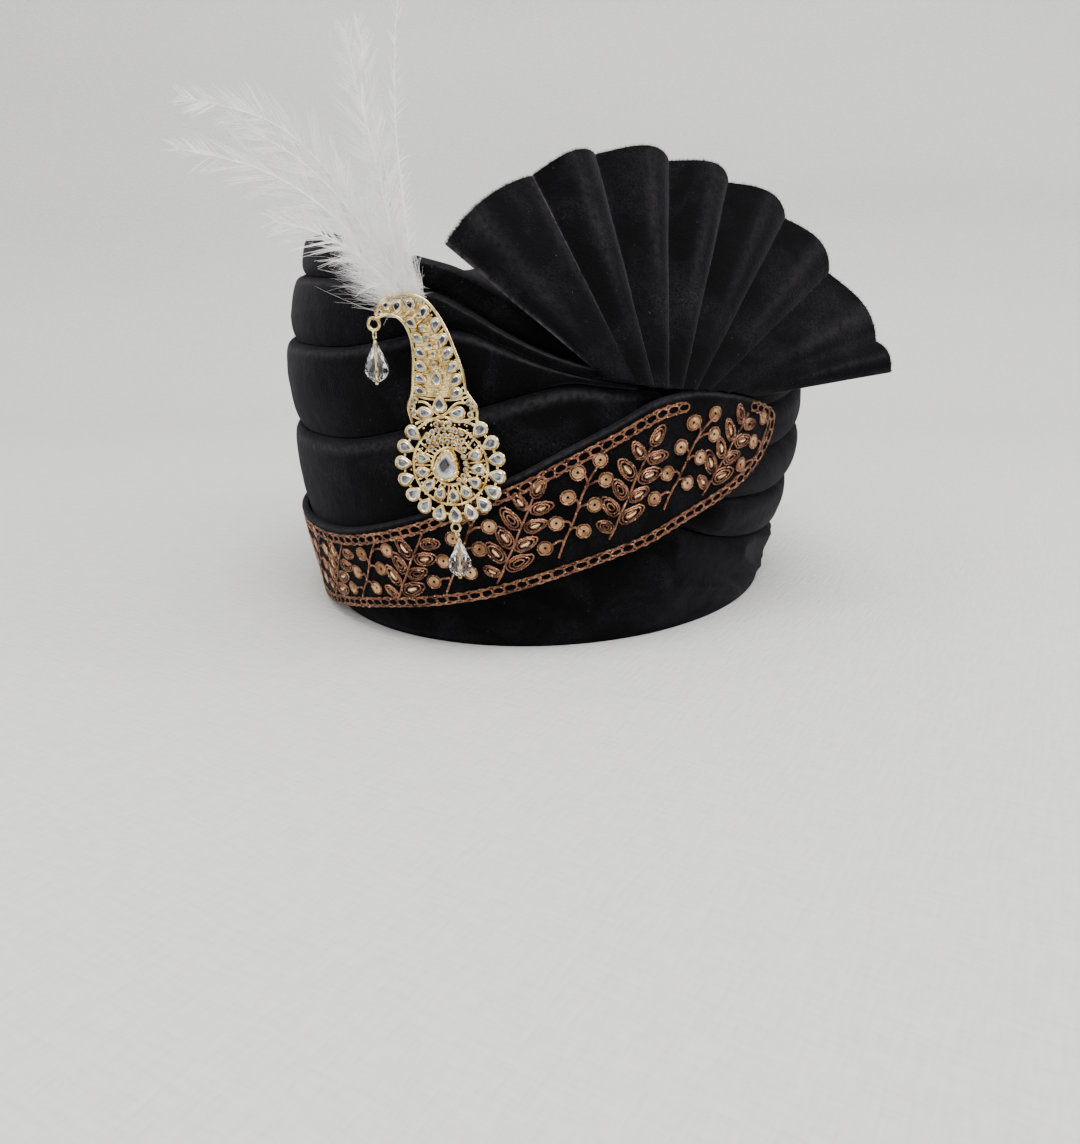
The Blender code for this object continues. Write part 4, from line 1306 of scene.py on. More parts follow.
@dataclass(frozen=True)
class Cord:
    """A cord of metallic thread: how thick its strands are and how tightly they twist."""

    strand: float = 0.00025
    spread: float = 0.00021
    pitch: float = 0.0014
    step: float = 0.00036
    strands: int = 2
    sides: int = 4

    def lay(self, skin: Skin, path: Array, out: Array, phase: float = 0.0) -> None:
        """Lay the cord along a path on the cloth.

        Args:
            skin: The piece that it is added to.
            path: The path's points, at the cord's middle, at even steps.
            out: The direction out of the cloth at each of them.
            phase: Where the twist starts, in radians.
        """
        run = self.step * np.arange(len(path))
        along = unit(np.gradient(path, axis=0))
        side = unit(np.cross(along, out))
        for strand in range(self.strands):
            turn = 2 * math.pi * (run / self.pitch + strand / self.strands) + phase
            wave = np.cos(turn)[:, None] * side + 0.55 * np.sin(turn)[:, None] * out
            skin.tube(path + self.spread * wave, self.strand, self.sides, up=out, flatness=0.85)


@dataclass(frozen=True)
class Petal:
    """A leaf of the worked sprig, from its foot to its tip, in millimetres beside the lane."""

    foot: tuple[float, float]
    tip: tuple[float, float]
    width: float


@dataclass(frozen=True)
class Spangle:
    """A sequin of the worked sprig: where its branch leaves the stem, and its middle."""

    branch: float
    middle: tuple[float, float]


@dataclass
class Embroidery:
    """Chains along the band's edges, and leaf and sequin sprigs by turns between them."""

    form: Form
    zari: Finish
    sequin: Finish
    bright: Finish
    lower_inset: float = 0.0027
    upper_inset: float = 0.0046
    chain_half: float = 0.00165
    chain_pitch: float = 0.0043
    first_azimuth: float = -166.0
    upper_last_azimuth: float = 57.0
    chain_return: float = 9.0
    rail: Cord = Cord()
    link: Cord = Cord(strand=0.00022, spread=0.00018)
    outline: Cord = Cord(strand=0.00027, spread=0.00012, strands=1, sides=5, pitch=0.0010)
    stem: Cord = Cord(strand=0.00025, spread=0.00024, pitch=0.0016)
    first_leaf: float = 0.379
    first_spray: float = 0.400
    repeat: float = 0.042
    sequin_radius: float = 0.0021
    slip_share: float = 0.5
    covered_margin: float = 0.0012
    first_room: float = 0.012
    stem_margin: float = 0.0035
    leaf_margin: float = 0.0045
    sequin_margin: float = 0.0058
    leaf_stem: tuple[tuple[float, float], ...] = (
        (-13.5, -14.4), (-10.2, -11.2), (-6.5, -6.8), (-2.6, -3.0), (1.4, 1.7), (7.0, 7.2), (10.0, 10.4))
    spray_stem: tuple[tuple[float, float], ...] = (
        (-11.7, -13.2), (-7.4, -8.2), (-4.4, -5.4), (-1.1, -1.8), (2.2, 2.4), (5.1, 6.1), (8.7, 9.7),
        (11.4, 11.6))
    petals: tuple[Petal, ...] = (
        Petal((-11.0, -11.8), (-15.2, -7.4), 3.6),
        Petal((-7.7, -7.6), (-10.8, 0.6), 4.6),
        Petal((-3.4, -3.3), (-5.2, 4.8), 4.4),
        Petal((1.7, 1.9), (-1.2, 10.6), 4.6),
        Petal((6.6, 7.1), (4.8, 14.2), 3.8),
        Petal((-8.6, -9.9), (1.3, -8.8), 4.8),
        Petal((-3.2, -4.2), (5.2, -3.2), 4.2),
        Petal((2.5, 1.4), (10.8, 1.0), 4.4),
        Petal((7.4, 6.6), (14.5, 5.7), 3.8),
        Petal((10.1, 10.4), (15.4, 15.2), 4.0),
    )
    spangles: tuple[Spangle, ...] = (
        Spangle(0.10, (-14.4, -7.8)), Spangle(0.32, (-7.4, -1.0)), Spangle(0.52, (-0.6, 6.0)),
        Spangle(0.74, (5.2, 12.8)), Spangle(0.26, (0.2, -7.6)), Spangle(0.48, (6.8, -0.2)),
        Spangle(0.70, (13.2, 6.6)), Spangle(0.98, (13.6, 13.8)),
    )

    def base(self) -> float:
        """How far the band's face stands out from the barrel."""
        return self.form.piece_gap + self.form.band_wall

    def edge_lane(self, edge: str) -> Lane:
        """One edge of the band as a lane that has the band on its left or right.

        Args:
            edge: Which edge, lower or upper. The lower one goes on round the band's rounded end.

        Returns:
            The lane.
        """
        form = self.form
        last = form.band.keys[-1] if edge == "lower" else self.upper_last_azimuth
        azimuth = np.linspace(self.first_azimuth, last, 700)
        height = form.band_edge(edge, azimuth)
        if edge == "lower":
            end = np.linspace(0, 1, 12)[1:]
            tip = form.band_edge("upper", last)
            height = np.concatenate([height, height[-1] + (tip - height[-1]) * end])
            back = last - self.chain_return * np.linspace(0, 1, 20)[1:]
            azimuth = np.concatenate([azimuth, np.full(len(end), last), back])
            height = np.concatenate([height, form.band_edge("upper", back)])
        points = even_steps(form.place(azimuth, form.barrel_build(height) + self.base(), height), 0.001)
        kernel = np.ones(7) / 7
        padded = np.concatenate([points[:1].repeat(3, 0), points, points[-1:].repeat(3, 0)])
        smooth = np.stack([np.convolve(padded[:, k], kernel, "valid") for k in range(3)], -1)
        return Lane(form, smooth, self.base())

    def build_chain(self, name: str, edge: str, inset: float) -> Piece:
        """A chain of looped links between two twisted rails, along one edge.

        Args:
            name: The piece's name.
            edge: The band's edge that it follows.
            inset: Its middle's distance from that edge, to the left of the edge's run.

        Returns:
            The piece.
        """
        lane = self.edge_lane(edge).beside(inset)
        skin = Skin()
        spots = np.arange(0.0005, lane.length - 0.0005, 0.0012)
        for side in Side:
            sway = 0.00016 * np.cos(2 * math.pi * spots / self.chain_pitch)
            across = side.value * (self.chain_half + sway)
            self.lay_on(skin, self.rail, lane, np.stack([spots, across], -1), 0.0004)
        turn = np.linspace(0, 2 * math.pi, 17)
        chance = np.random.default_rng(8)
        for middle in np.arange(0.002, lane.length - 0.002, self.chain_pitch):
            lean, wide, tall = chance.normal(0, 0.1), *chance.uniform(0.90, 1.10, 2)
            along = self.chain_pitch * 0.54 * wide * np.cos(turn)
            across = self.chain_half * 0.82 * tall * np.sin(turn)
            places = np.stack([middle + along + lean * across, across], -1)
            self.lay_on(skin, self.link, lane, places, 0.0005)
        return skin.build(name, [self.zari], "zari_band")

    def lay_on(self, skin: Skin, cord: Cord, lane: Lane, places: Array, lift: float) -> None:
        """Lay a cord through places beside a lane.

        Args:
            skin: The piece that it is added to.
            cord: The cord.
            lane: The lane.
            places: Distance along and across, one pair to a row.
            lift: Height of the cord's middle above the cloth.
        """
        path = even_steps(lane.at(places[:, 0], places[:, 1], lift), cord.step)
        wander = patches(path, (760.0, 760.0, 760.0), 3.0)
        path = path + np.array([0.0, 0.0, 0.00034]) * wander[:, None]
        cord.lay(skin, path, self.form.outward(path), phase=1000 * float(places[0, 0]))

    def room(self, lane: Lane, distance: float, across: float, margin: float) -> bool:
        """Whether a place beside the lane lies on the band, clear of its chains.

        Args:
            lane: The lane.
            distance: Distance along it.
            across: Distance to its left.
            margin: How far from the band's edges the place has to stay.

        Returns:
            True where there is room.
        """
        point = lane.at(np.array([distance]), np.array([across]), 0.0)[0]
        azimuth = math.degrees(math.atan2(
            point[0] / self.form.head_width, -point[1] / self.form.head_length))
        low, high = self.form.band_edge("lower", azimuth), self.form.band_edge("upper", azimuth)
        above = margin * 0.9 if azimuth < self.upper_last_azimuth else self.covered_margin
        return bool(low + margin < point[2] < high - above)

    def petal_line(self, petal: Petal, size: float) -> Array:
        """A leaf's outline, in millimetres beside the lane.

        Args:
            petal: The leaf.
            size: Its size as a share of the whole leaf's.

        Returns:
            The outline, from its foot round to its foot.
        """
        foot, tip = np.array(petal.foot), np.array(petal.tip)
        middle = foot + (tip - foot) * 0.56
        along = (tip - foot) / np.linalg.norm(tip - foot)
        across = np.array([-along[1], along[0]])
        turn = np.linspace(0, 2 * math.pi, 26)
        reach = np.linalg.norm(tip - foot) / 2 * size
        swell = petal.width / 2 * size * np.sin(turn) * (1 + 0.22 * np.cos(turn))
        line = middle * size + (foot + (tip - foot) / 2) * (1 - size)
        return line - np.cos(turn)[:, None] * along * reach + swell[:, None] * across

    def build_leaf_sprigs(self, lane: Lane) -> list[Piece]:
        """The leaf sprigs: leaves in a double outline on a twisted stem, each with a bright slip.

        Args:
            lane: The band's middle line.

        Returns:
            The pieces.
        """
        cords, slips = Skin(), Skin()
        chance = np.random.default_rng(21)
        for middle in self.sprig_middles(lane, self.first_leaf):
            self.lay_stem(cords, lane, self.smooth_places(self.leaf_stem, middle))
            for petal in self.petals:
                tip = np.array(petal.tip) / 1000
                if not self.room(lane, middle + tip[0], tip[1], self.leaf_margin):
                    continue
                first = chance.uniform(0.96, 1.10)
                for size, lift in ((first, 0.0005), (0.74, 0.0006), (0.40, 0.0005)):
                    places = self.petal_line(petal, size) / 1000 + np.array([middle, 0.0])
                    self.lay_on(cords, self.outline, lane, places, lift)
                if chance.uniform() < self.slip_share:
                    self.add_slip(slips, lane, petal, middle)
        return [
            cords.build("leaf_sprig_cords", [self.zari], "zari_band"),
            slips.build("leaf_sprig_slips", [self.bright], "zari_band"),
        ]

    def add_slip(self, skin: Skin, lane: Lane, petal: Petal, middle: float) -> None:
        """Add the bright slip of metal inside a leaf.

        Args:
            skin: The piece that it is added to.
            lane: The lane.
            petal: The leaf.
            middle: The sprig's middle along the lane.
        """
        foot, tip = np.array(petal.foot) / 1000, np.array(petal.tip) / 1000
        share = np.linspace(0.34, 0.72, 6)
        places = foot + (tip - foot) * share[:, None] + np.array([middle, 0.0])
        path = lane.at(places[:, 0], places[:, 1], 0.0006)
        radius = petal.width / 1000 * 0.13 * np.sin(np.pi * np.linspace(0.12, 0.88, 6))
        skin.tube(path, radius, sides=6, up=self.form.outward(path), flatness=0.7)

    def sprig_middles(self, lane: Lane, one: float) -> Array:
        """Middles of the sprigs of one kind along the lane, counted both ways from one of them."""
        start = one - self.repeat * math.floor((one - self.first_room) / self.repeat)
        return np.arange(start, lane.length, self.repeat)

    def lay_stem(self, skin: Skin, lane: Lane, stem: Array) -> None:
        """Lay the part of a stem that has room on the band."""
        kept = stem[[self.room(lane, *place, margin=self.stem_margin) for place in stem]]
        if len(kept) > 4:
            self.lay_on(skin, self.stem, lane, kept, 0.0006)

    def smooth_places(self, line: Sequence[Sequence[float]], middle: float) -> Array:
        """A stem's line, given in millimetres, as closely set places beside the lane."""
        return smooth_line(line, 40) / 1000 + np.array([middle, 0.0])

    def build_sequin_sprigs(self, lane: Lane) -> list[Piece]:
        """The sequin sprigs: round sequins ringed with cord, on short branches from a stem.

        Args:
            lane: The band's middle line.

        Returns:
            The pieces.
        """
        cords, discs = Skin(), Skin()
        for middle in self.sprig_middles(lane, self.first_spray):
            stem = self.smooth_places(self.spray_stem, middle)
            self.lay_stem(cords, lane, stem)
            for spangle in self.spangles:
                spot = np.array(spangle.middle) / 1000 + np.array([middle, 0.0])
                if not self.room(lane, *spot, self.sequin_margin):
                    continue
                foot = stem[round(spangle.branch * (len(stem) - 1))]
                ahead = stem[min(len(stem) - 1, round((spangle.branch + 0.12) * (len(stem) - 1)))]
                t = np.linspace(0, 0.86, 10)[:, None]
                branch = foot * (1 - t) ** 2 + 2 * ahead * t * (1 - t) + spot * t**2
                self.lay_on(cords, self.stem, lane, branch, 0.0006)
                turn = np.linspace(0, 2 * math.pi, 25)
                ring = np.stack([np.cos(turn), np.sin(turn)], -1) * (self.sequin_radius + 0.00042)
                self.lay_on(cords, self.outline, lane, ring + spot, 0.0005)
                self.add_sequin(discs, lane, spot)
        return [
            cords.build("sequin_sprig_cords", [self.zari], "zari_band"),
            discs.build("sequins", [self.sequin], "zari_band", crease=30.0),
        ]

    def add_sequin(self, skin: Skin, lane: Lane, spot: Array) -> None:
        """Add a cupped sequin with ridges round its open middle.

        Args:
            skin: The piece that it is added to.
            lane: The lane.
            spot: The sequin's middle, along and across.
        """
        turn = 2 * math.pi * np.arange(20) / 20
        profile = (
            (0.20, 0.05), (0.24, 0.30), (0.46, 0.50), (0.60, 0.36), (0.80, 0.52), (0.97, 0.42),
            (1.0, 0.05))
        rings = []
        for reach, lift in profile:
            circle = np.stack([np.cos(turn), np.sin(turn)], -1) * reach * self.sequin_radius + spot
            rings.append(lane.at(circle[:, 0], circle[:, 1], lift / 1000 + 0.0002))
        skin.grid(np.array(rings), around=True)

    def build(self) -> list[Piece]:
        """All the embroidery on the band.

        Returns:
            The pieces.
        """
        form = self.form
        azimuth = np.linspace(form.band.keys[0], form.band.keys[-1], 1200)
        height = (form.band_edge("lower", azimuth) + form.band_edge("upper", azimuth)) / 2
        middle = form.place(azimuth, form.barrel_build(height) + self.base(), height)
        lane = Lane(form, middle, self.base())
        pieces = [
            self.build_chain("lower_edge_chain", "lower", self.lower_inset),
            self.build_chain("upper_edge_chain", "upper", -self.upper_inset),
        ]
        return pieces + self.build_leaf_sprigs(lane) + self.build_sequin_sprigs(lane)


# The brooch's frame


@dataclass
class BroochFrame:
    """Where the brooch lies: its back on the cloth, X to the viewer's right, Y up, Z out."""

    form: Form
    facing: float = 14.7
    side: float = -0.0036
    height: float = 0.0693
    bar_depth: float = 0.0015

    def matrix(self) -> Matrix:
        """The brooch's own frame in the turban's.

        Returns:
            What turns its metres into the turban's.
        """
        facing = math.radians(self.facing)
        out = Vector((math.sin(facing), -math.cos(facing), 0))
        right = Vector((math.cos(facing), math.sin(facing), 0))
        half_width = self.form.head_width / 2 + self.form.wrap_build
        half_length = self.form.head_length / 2 + self.form.wrap_build
        reach = math.hypot(half_width * math.sin(facing), half_length * math.cos(facing))
        centre = out * (reach + self.form.piece_gap + self.bar_depth) + right * self.side
        centre.z = self.height
        turned = Matrix((right, Vector((0, 0, 1)), out)).transposed().to_4x4()
        return Matrix.Translation(centre) @ turned


# Jewelled brooch


@dataclass(frozen=True)
class Gem:
    """A set stone in the brooch's frame, in millimetres; turn is where its point looks."""

    x: float
    y: float
    turn: float
    length: float
    width: float
    cut: Cut = Cut.PEAR


@dataclass
class Brooch:
    """The jewelled brooch: a round flower of foiled stones, a curved neck and two glass drops."""

    seat: BroochFrame
    gold: Finish
    stone: Finish
    glass: Finish
    wall: float = 0.62
    lip: float = 1.75
    girdle: float = 1.35
    outer_ring: tuple[float, float, float, int] = (16.3, -130.0, 140.0, 15)
    second_ring: tuple[float, float, float, int] = (9.7, -104.0, 116.0, 9)
    outer_size: tuple[float, float] = (5.2, 3.9)
    second_size: tuple[float, float] = (4.1, 3.1)
    centre: Gem = Gem(-1.0, 0.6, 8.0, 9.6, 7.0)
    grain: float = 0.46
    grain_tries: int = 3400
    openwork_rings: tuple[tuple[float, float], ...] = (
        (12.9, 0.55), (6.2, 0.6), (16.2, 0.5), (9.6, 0.45))
    spokes: int = 30
    pave_stone: float = 1.45
    pave_pitch: float = 2.0
    pave_rows: tuple[tuple[float, float, float], ...] = (
        (7.7, -128.0, 126.0), (9.8, -134.0, 142.0), (11.8, -140.0, 150.0), (13.7, -160.0, 172.0),
        (6.3, -232.0, 28.0))
    left_column: tuple[tuple[float, float, float], ...] = (
        (-11.7, 45.6, 128), (-9.6, 40.9, 124), (-8.8, 36.3, 120), (-8.9, 32.1, 116), (-9.2, 28.2, 114),
        (-9.3, 24.3, 112))
    right_column: tuple[tuple[float, float, float], ...] = (
        (-7.4, 48.9, 196), (-3.5, 45.0, 190), (-1.4, 40.4, 204), (0.1, 36.3, 212), (1.5, 32.1, 222),
        (2.6, 28.1, 228), (2.7, 23.9, 236))
    middle_stones: tuple[Gem, ...] = (
        Gem(-2.9, 20.4, 0, 4.9, 3.9), Gem(-3.7, 28.6, 0, 4.6, 3.2), Gem(-11.8, 51.2, 150, 3.8, 2.8),
        Gem(-16.3, 50.6, 200, 4.1, 3.2), Gem(-7.9, 17.3, 92, 4.9, 3.2), Gem(2.9, 17.8, 266, 4.9, 3.2),
    )
    round_stones: tuple[tuple[float, float, float], ...] = (
        (-19.9, 51.0, 2.4), (-7.9, 44.2, 2.2), (-6.6, 41.4, 2.0), (-5.4, 38.9, 1.8), (-4.5, 36.3, 1.7),
        (-4.1, 33.0, 1.6), (-22.2, 48.9, 1.5), (-11.3, 21.4, 1.7), (-12.3, 19.4, 1.7),
        (-11.7, 17.4, 1.6),
        (7.2, 21.2, 1.7), (8.4, 19.4, 1.7), (7.6, 17.4, 1.6), (-3.8, 24.4, 1.5), (-9.0, 48.0, 1.4))
    right_edge: tuple[tuple[float, float], ...] = (
        (9.6, 14.6), (9.6, 19.6), (7.6, 22.6), (6.1, 25.0), (5.6, 28.6), (4.6, 32.4), (2.6, 37.4),
        (0.1, 43.4), (-3.5, 49.3), (-7.4, 53.0), (-12.9, 54.4), (-18.5, 53.8), (-22.2, 51.3),
        (-23.9, 47.9))
    left_edge: tuple[tuple[float, float], ...] = (
        (-12.6, 13.8), (-13.8, 18.8), (-12.6, 22.6), (-12.0, 25.4), (-11.7, 29.5), (-11.4, 35.4),
        (-12.1, 41.3), (-14.6, 46.0), (-17.9, 48.0), (-20.7, 47.9), (-23.3, 46.8))
    knot_wires: tuple[tuple[tuple[float, float], ...], ...] = (
        ((-13.2, 20.4), (-8.0, 20.6), (-2.6, 16.6), (3.0, 20.8), (8.6, 20.6)),
        ((-12.8, 16.0), (-7.5, 14.6), (-2.4, 16.4), (2.8, 14.8), (9.4, 16.4)),
        ((-11.6, 13.6), (-6.4, 15.6), (-2.2, 14.4), (2.4, 15.4), (9.2, 14.0)),
    )
    eye: tuple[float, float] = (-24.5, 45.0)
    eye_radius: float = 1.9
    upper_drop: tuple[float, float] = (-24.3, 33.0)
    lower_drop: tuple[float, float] = (2.6, -31.2)
    lower_ring: tuple[float, float] = (1.5, -20.6)
    drop_width: float = 8.0
    drop_length: float = 12.2
    drop_profile: tuple[tuple[float, float], ...] = (
        (0.15, 1.00), (0.36, 0.86), (0.64, 0.66), (0.90, 0.45), (1.00, 0.28), (0.84, 0.13), (0.34, 0.00))
    drop_sides: int = 10

    def outline(self, gem: Gem, count: int, grow: float = 0.0, size: float = 1.0) -> Array:
        """A stone's outline seen from the front.

        Args:
            gem: The stone.
            count: How many points it has.
            grow: How far outside the stone it runs, in millimetres.
            size: Its size as a share of the stone's.

        Returns:
            The points, xy.
        """
        turn = 2 * math.pi * (np.arange(count) + 0.5) / count
        if gem.cut is Cut.PEAR:
            wide = np.sin(turn) * np.abs(np.sin(turn / 2)) ** 0.9 / 0.785
        else:
            wide = np.sin(turn)
        line = np.stack([gem.width / 2 * wide, gem.length / 2 * np.cos(turn)], -1) * size
        ahead = unit(np.roll(line, -1, 0) - np.roll(line, 1, 0))
        line = line + grow * np.stack([-ahead[:, 1], ahead[:, 0]], -1)
        a = math.radians(gem.turn)
        spin = np.array([[math.cos(a), math.sin(a)], [-math.sin(a), math.cos(a)]])
        return line @ spin.T + np.array([gem.x, gem.y])

    def raise_line(self, line: Array, height: float) -> Array:
        """A flat line in millimetres lifted to a height, in metres."""
        return np.concatenate([line, np.full((len(line), 1), height)], 1) / 1000

    def set_stone(self, gold: Skin, stones: Skin, gem: Gem) -> None:
        """Add a stone and the collet that holds it.

        Args:
            gold: The metal.
            stones: The stones.
            gem: The stone.
        """
        cuts = 8 if gem.cut is Cut.ROUND else 12
        wall = min(self.wall, 0.16 * gem.width + 0.14)
        profile = (
            (-0.14, self.girdle - 0.1), (-0.05, self.lip), (wall * 0.45, self.lip + 0.08),
            (wall * 0.85, self.lip - 0.22), (wall, self.girdle - 0.2), (wall, 0.3), (wall * 0.6, 0.05))
        rings = [self.raise_line(self.outline(gem, 22, grow), level) for grow, level in profile]
        gold.grid(np.array(rings), around=True)
        # The third number of each level is the stone's share of painted dark reflection.
        levels = (
            (1.02, self.girdle, 0.0), (0.78, self.girdle + 0.42, 0.25), (0.50, self.girdle + 0.58, 1.0))
        cut = [self.raise_line(self.outline(gem, cuts, size=size), level) for size, level, _ in levels]
        painted_light = np.array([[dark] * cuts for _, _, dark in levels])
        stones.grid(np.array(cut), around=True, ends=True, painted_light=painted_light)

    def ring_gems(self, ring: tuple[float, float, float, int], size: tuple[float, float]) -> list[Gem]:
        """The stones of one ring, with their points inwards.

        Args:
            ring: The ring's radius, first and last angle, and number of stones.
            size: Length and width of each.

        Returns:
            The stones.
        """
        radius, first, last, count = ring
        gems = []
        for angle in np.linspace(first, last, count):
            turn = math.radians(angle)
            gems.append(Gem(radius * math.sin(turn), -radius * math.cos(turn), -angle, *size))
        return gems

    def pave_gems(self) -> list[Gem]:
        """The small round stones that fill the crescents over and beside the centre stone.

        Returns:
            The stones.
        """
        gems = []
        for radius, first, last in self.pave_rows:
            sweep = 360 - (last - first)
            count = round(math.radians(sweep) * radius / self.pave_pitch)
            for angle in last + sweep * (np.arange(count) + 0.5) / count:
                turn = math.radians(angle)
                x, y = radius * math.sin(turn) - 0.6, -radius * math.cos(turn) + 0.6
                gems.append(Gem(x, y, 0, self.pave_stone, self.pave_stone, Cut.ROUND))
        return gems

    def neck_gems(self) -> list[Gem]:
        """The stones along the neck and in the knot under it."""
        gems = [Gem(x, y, turn, 4.0, 2.7) for x, y, turn in self.left_column]
        gems += [Gem(x, y, turn, 4.2, 2.8) for x, y, turn in self.right_column]
        gems += list(self.middle_stones)
        return gems + [Gem(x, y, 0, size, size, Cut.ROUND) for x, y, size in self.round_stones]

    def add_wire(self, gold: Skin, line: Sequence[Sequence[float]], radius: float, height: float,
                 closed: bool = False, count: int = 60) -> None:
        """Add a smooth wire through points in the brooch's plane.

        Args:
            gold: The metal.
            line: The points, in millimetres.
            radius: The wire's radius.
            height: Its height.
            closed: Join its ends.
            count: How many points it is read at.
        """
        flat = self.raise_line(smooth_line(line, count), height)
        gold.tube(flat, radius / 1000, sides=8, closed=closed)

    def circle(self, x: float, y: float, radius: float, count: int = 48) -> Array:
        """Points of a circle, in millimetres, its end on its start."""
        turn = np.linspace(0, 2 * math.pi, count)
        return np.stack([x + radius * np.cos(turn), y + radius * np.sin(turn)], -1)

    def add_openwork(self, gold: Skin, gems: list[Gem]) -> None:
        """Add the wires that carry the stones, and grains in the spaces between them.

        Args:
            gold: The metal.
            gems: All the stones, which the grains keep clear of.
        """
        for radius, thick in self.openwork_rings:
            self.add_wire(gold, self.circle(0, 0, radius), thick, 0.75)
        for k in range(self.spokes):
            turn = math.radians(360 * (k + 0.5) / self.spokes)
            ends = [(r * math.sin(turn), -r * math.cos(turn)) for r in (5.9, 9.5, 13.2)]
            self.add_wire(gold, ends, 0.38, 0.8, count=6)
        self.add_wire(gold, self.right_edge, 0.55, 1.2, count=90)
        self.add_wire(gold, self.left_edge, 0.55, 1.2, count=80)
        for knot in self.knot_wires:
            self.add_wire(gold, knot, 0.5, 0.9, count=30)
        left, right = (Course("place x y", [(k / (len(edge) - 1), *row) for k, row in enumerate(edge)])
                       for edge in (self.left_edge[2:], self.right_edge[2:]))
        sag = np.array([0.0, -1.3])
        for share in np.linspace(0.02, 0.97, 20):
            a, b = left.points("x y", share), right.points("x y", share)
            rung = [a, a * 0.7 + b * 0.3 + sag, a * 0.3 + b * 0.7 + sag, b]
            self.add_wire(gold, rung, 0.45, 0.8, count=12)
        shares = np.linspace(0.0, 0.96, 50)
        a, b = left.points("x y", shares), right.points("x y", shares)
        edges = [a * (1 - part) + b * part for part in (0.06, 0.80)]
        loop = [self.raise_line(edges[side], level)
                for side, level in ((0, 0.35), (1, 0.35), (1, 0.75), (0, 0.75))]
        gold.grid(np.array(loop), along=True)
        chance = np.random.default_rng(14)
        taken = [(gem.x, gem.y, (gem.length + gem.width) / 4 + 0.55) for gem in gems]
        for _ in range(self.grain_tries):
            x, y = chance.uniform(-25, 19), chance.uniform(-17, 54)
            if not self.inside(x, y, left, right):
                continue
            size = chance.uniform(0.75, 1.2) * self.grain
            if all(math.hypot(x - a, y - b) > reach + size for a, b, reach in taken):
                gold.ball((x / 1000, y / 1000, 0.00095), size / 1000)
                taken.append((x, y, size * 1.05))

    def inside(self, x: float, y: float, left: Course, right: Course) -> bool:
        """Whether a place lies over the metal of the round part or the neck.

        Args:
            x: The place, to the right.
            y: The place, upwards.
            left: The neck's left edge.
            right: Its right edge.

        Returns:
            True over the metal.
        """
        radius = math.hypot(x, y)
        if radius < 17.0:
            return radius > 5.8
        if not 16.0 < y < 53.5:
            return False
        shares = np.linspace(0, 1, 40)
        a = left.points("x y", shares)
        span = right.points("x y", shares) - a
        along = ((np.array([x, y]) - a) * span).sum(-1) / (span**2).sum(-1)
        gap = np.linalg.norm(a + along[:, None] * span - np.array([x, y]), axis=-1)
        k = int(np.argmin(gap))
        return bool(gap[k] < 0.9 and 0.05 < along[k] < 0.95)

    def add_drop(
        self, gold: Skin, glass: Skin, spot: tuple[float, float], hook: tuple[float, float]
    ) -> None:
        """Add a cut glass drop on its pin, with the loop that it hangs by.

        Args:
            gold: The metal.
            glass: The glass.
            spot: The drop's middle.
            hook: Middle of the eye that it hangs from.
        """
        x, y = spot
        low, high = y - self.drop_length / 2, y + self.drop_length / 2
        rows = []
        for k, (reach, height) in enumerate(self.drop_profile):
            turn = 2 * math.pi * (np.arange(self.drop_sides) + (k % 2) / 2) / self.drop_sides
            radius = reach * self.drop_width / 2
            rows.append(xyz(
                x + radius * np.cos(turn), low + height * self.drop_length, 1.3 + radius * np.sin(turn)))
        self.add_facets(glass, np.array(rows) / 1000)
        pin = np.array([(x, high + 1.4, 1.3), (x, high, 1.3), (x, y, 1.3), (x, low - 0.3, 1.3)]) / 1000
        gold.tube(pin, 0.00036, sides=8)
        gold.ball((x / 1000, (low - 0.5) / 1000, 0.0013), 0.00085)
        gold.ball((x / 1000, (high + 0.35) / 1000, 0.0013), 0.00080)
        top = (hook[0] + x) / 2, (hook[1] + high + 1.0) / 2
        reach = math.hypot(hook[0] - x, hook[1] - high - 1.0) / 2 + 0.9
        link = self.circle(0, 0, 1.0, 26)
        away = np.array([hook[0] - x, hook[1] - high - 1.0]) / (2 * reach)
        flat = np.array(top) + link[:, 1:] * away * reach
        loop = np.concatenate([flat, 1.3 + link[:, :1] * 1.1], 1) / 1000
        gold.tube(loop[:-1], 0.00034, sides=8, closed=True)

    def add_facets(self, glass: Skin, rows: Array) -> None:
        """Add a body of triangular facets.

        Args:
            glass: The glass.
            rows: Rings of points, each turned by half a step on the last.
        """
        sides = rows.shape[1]
        count = len(rows)
        faces = []
        for row in range(count - 1):
            for k in range(sides):
                here, after = row * sides + k, row * sides + (k + 1) % sides
                shift = (k + 1) % sides if row % 2 else k
                back = k if row % 2 else (k - 1) % sides
                above = (row + 1) * sides + shift
                faces.append([here, after, above])
                faces.append([here, above, (row + 1) * sides + back])
        faces.append(list(range(sides))[::-1])
        faces.append([(count - 1) * sides + k for k in range(sides)])
        glass.add(rows.reshape(-1, 3), faces)

    def add_centre(self, gold: Skin, stones: Skin) -> None:
        """Add the large cut stone in the middle, with its claws and its wide collet.

        Args:
            gold: The metal.
            stones: The stone's piece.
        """
        gem = self.centre
        profile = (
            (-0.2, 1.6), (0.0, 2.5), (0.35, 2.7), (0.7, 2.3), (0.95, 1.2), (1.25, 0.9), (1.4, 0.2))
        rings = [self.raise_line(self.outline(gem, 30, grow), level) for grow, level in profile]
        gold.grid(np.array(rings), around=True)
        for point in self.outline(gem, 8, 0.25):
            gold.ball((point[0] / 1000, point[1] / 1000, 0.0028), 0.00055)
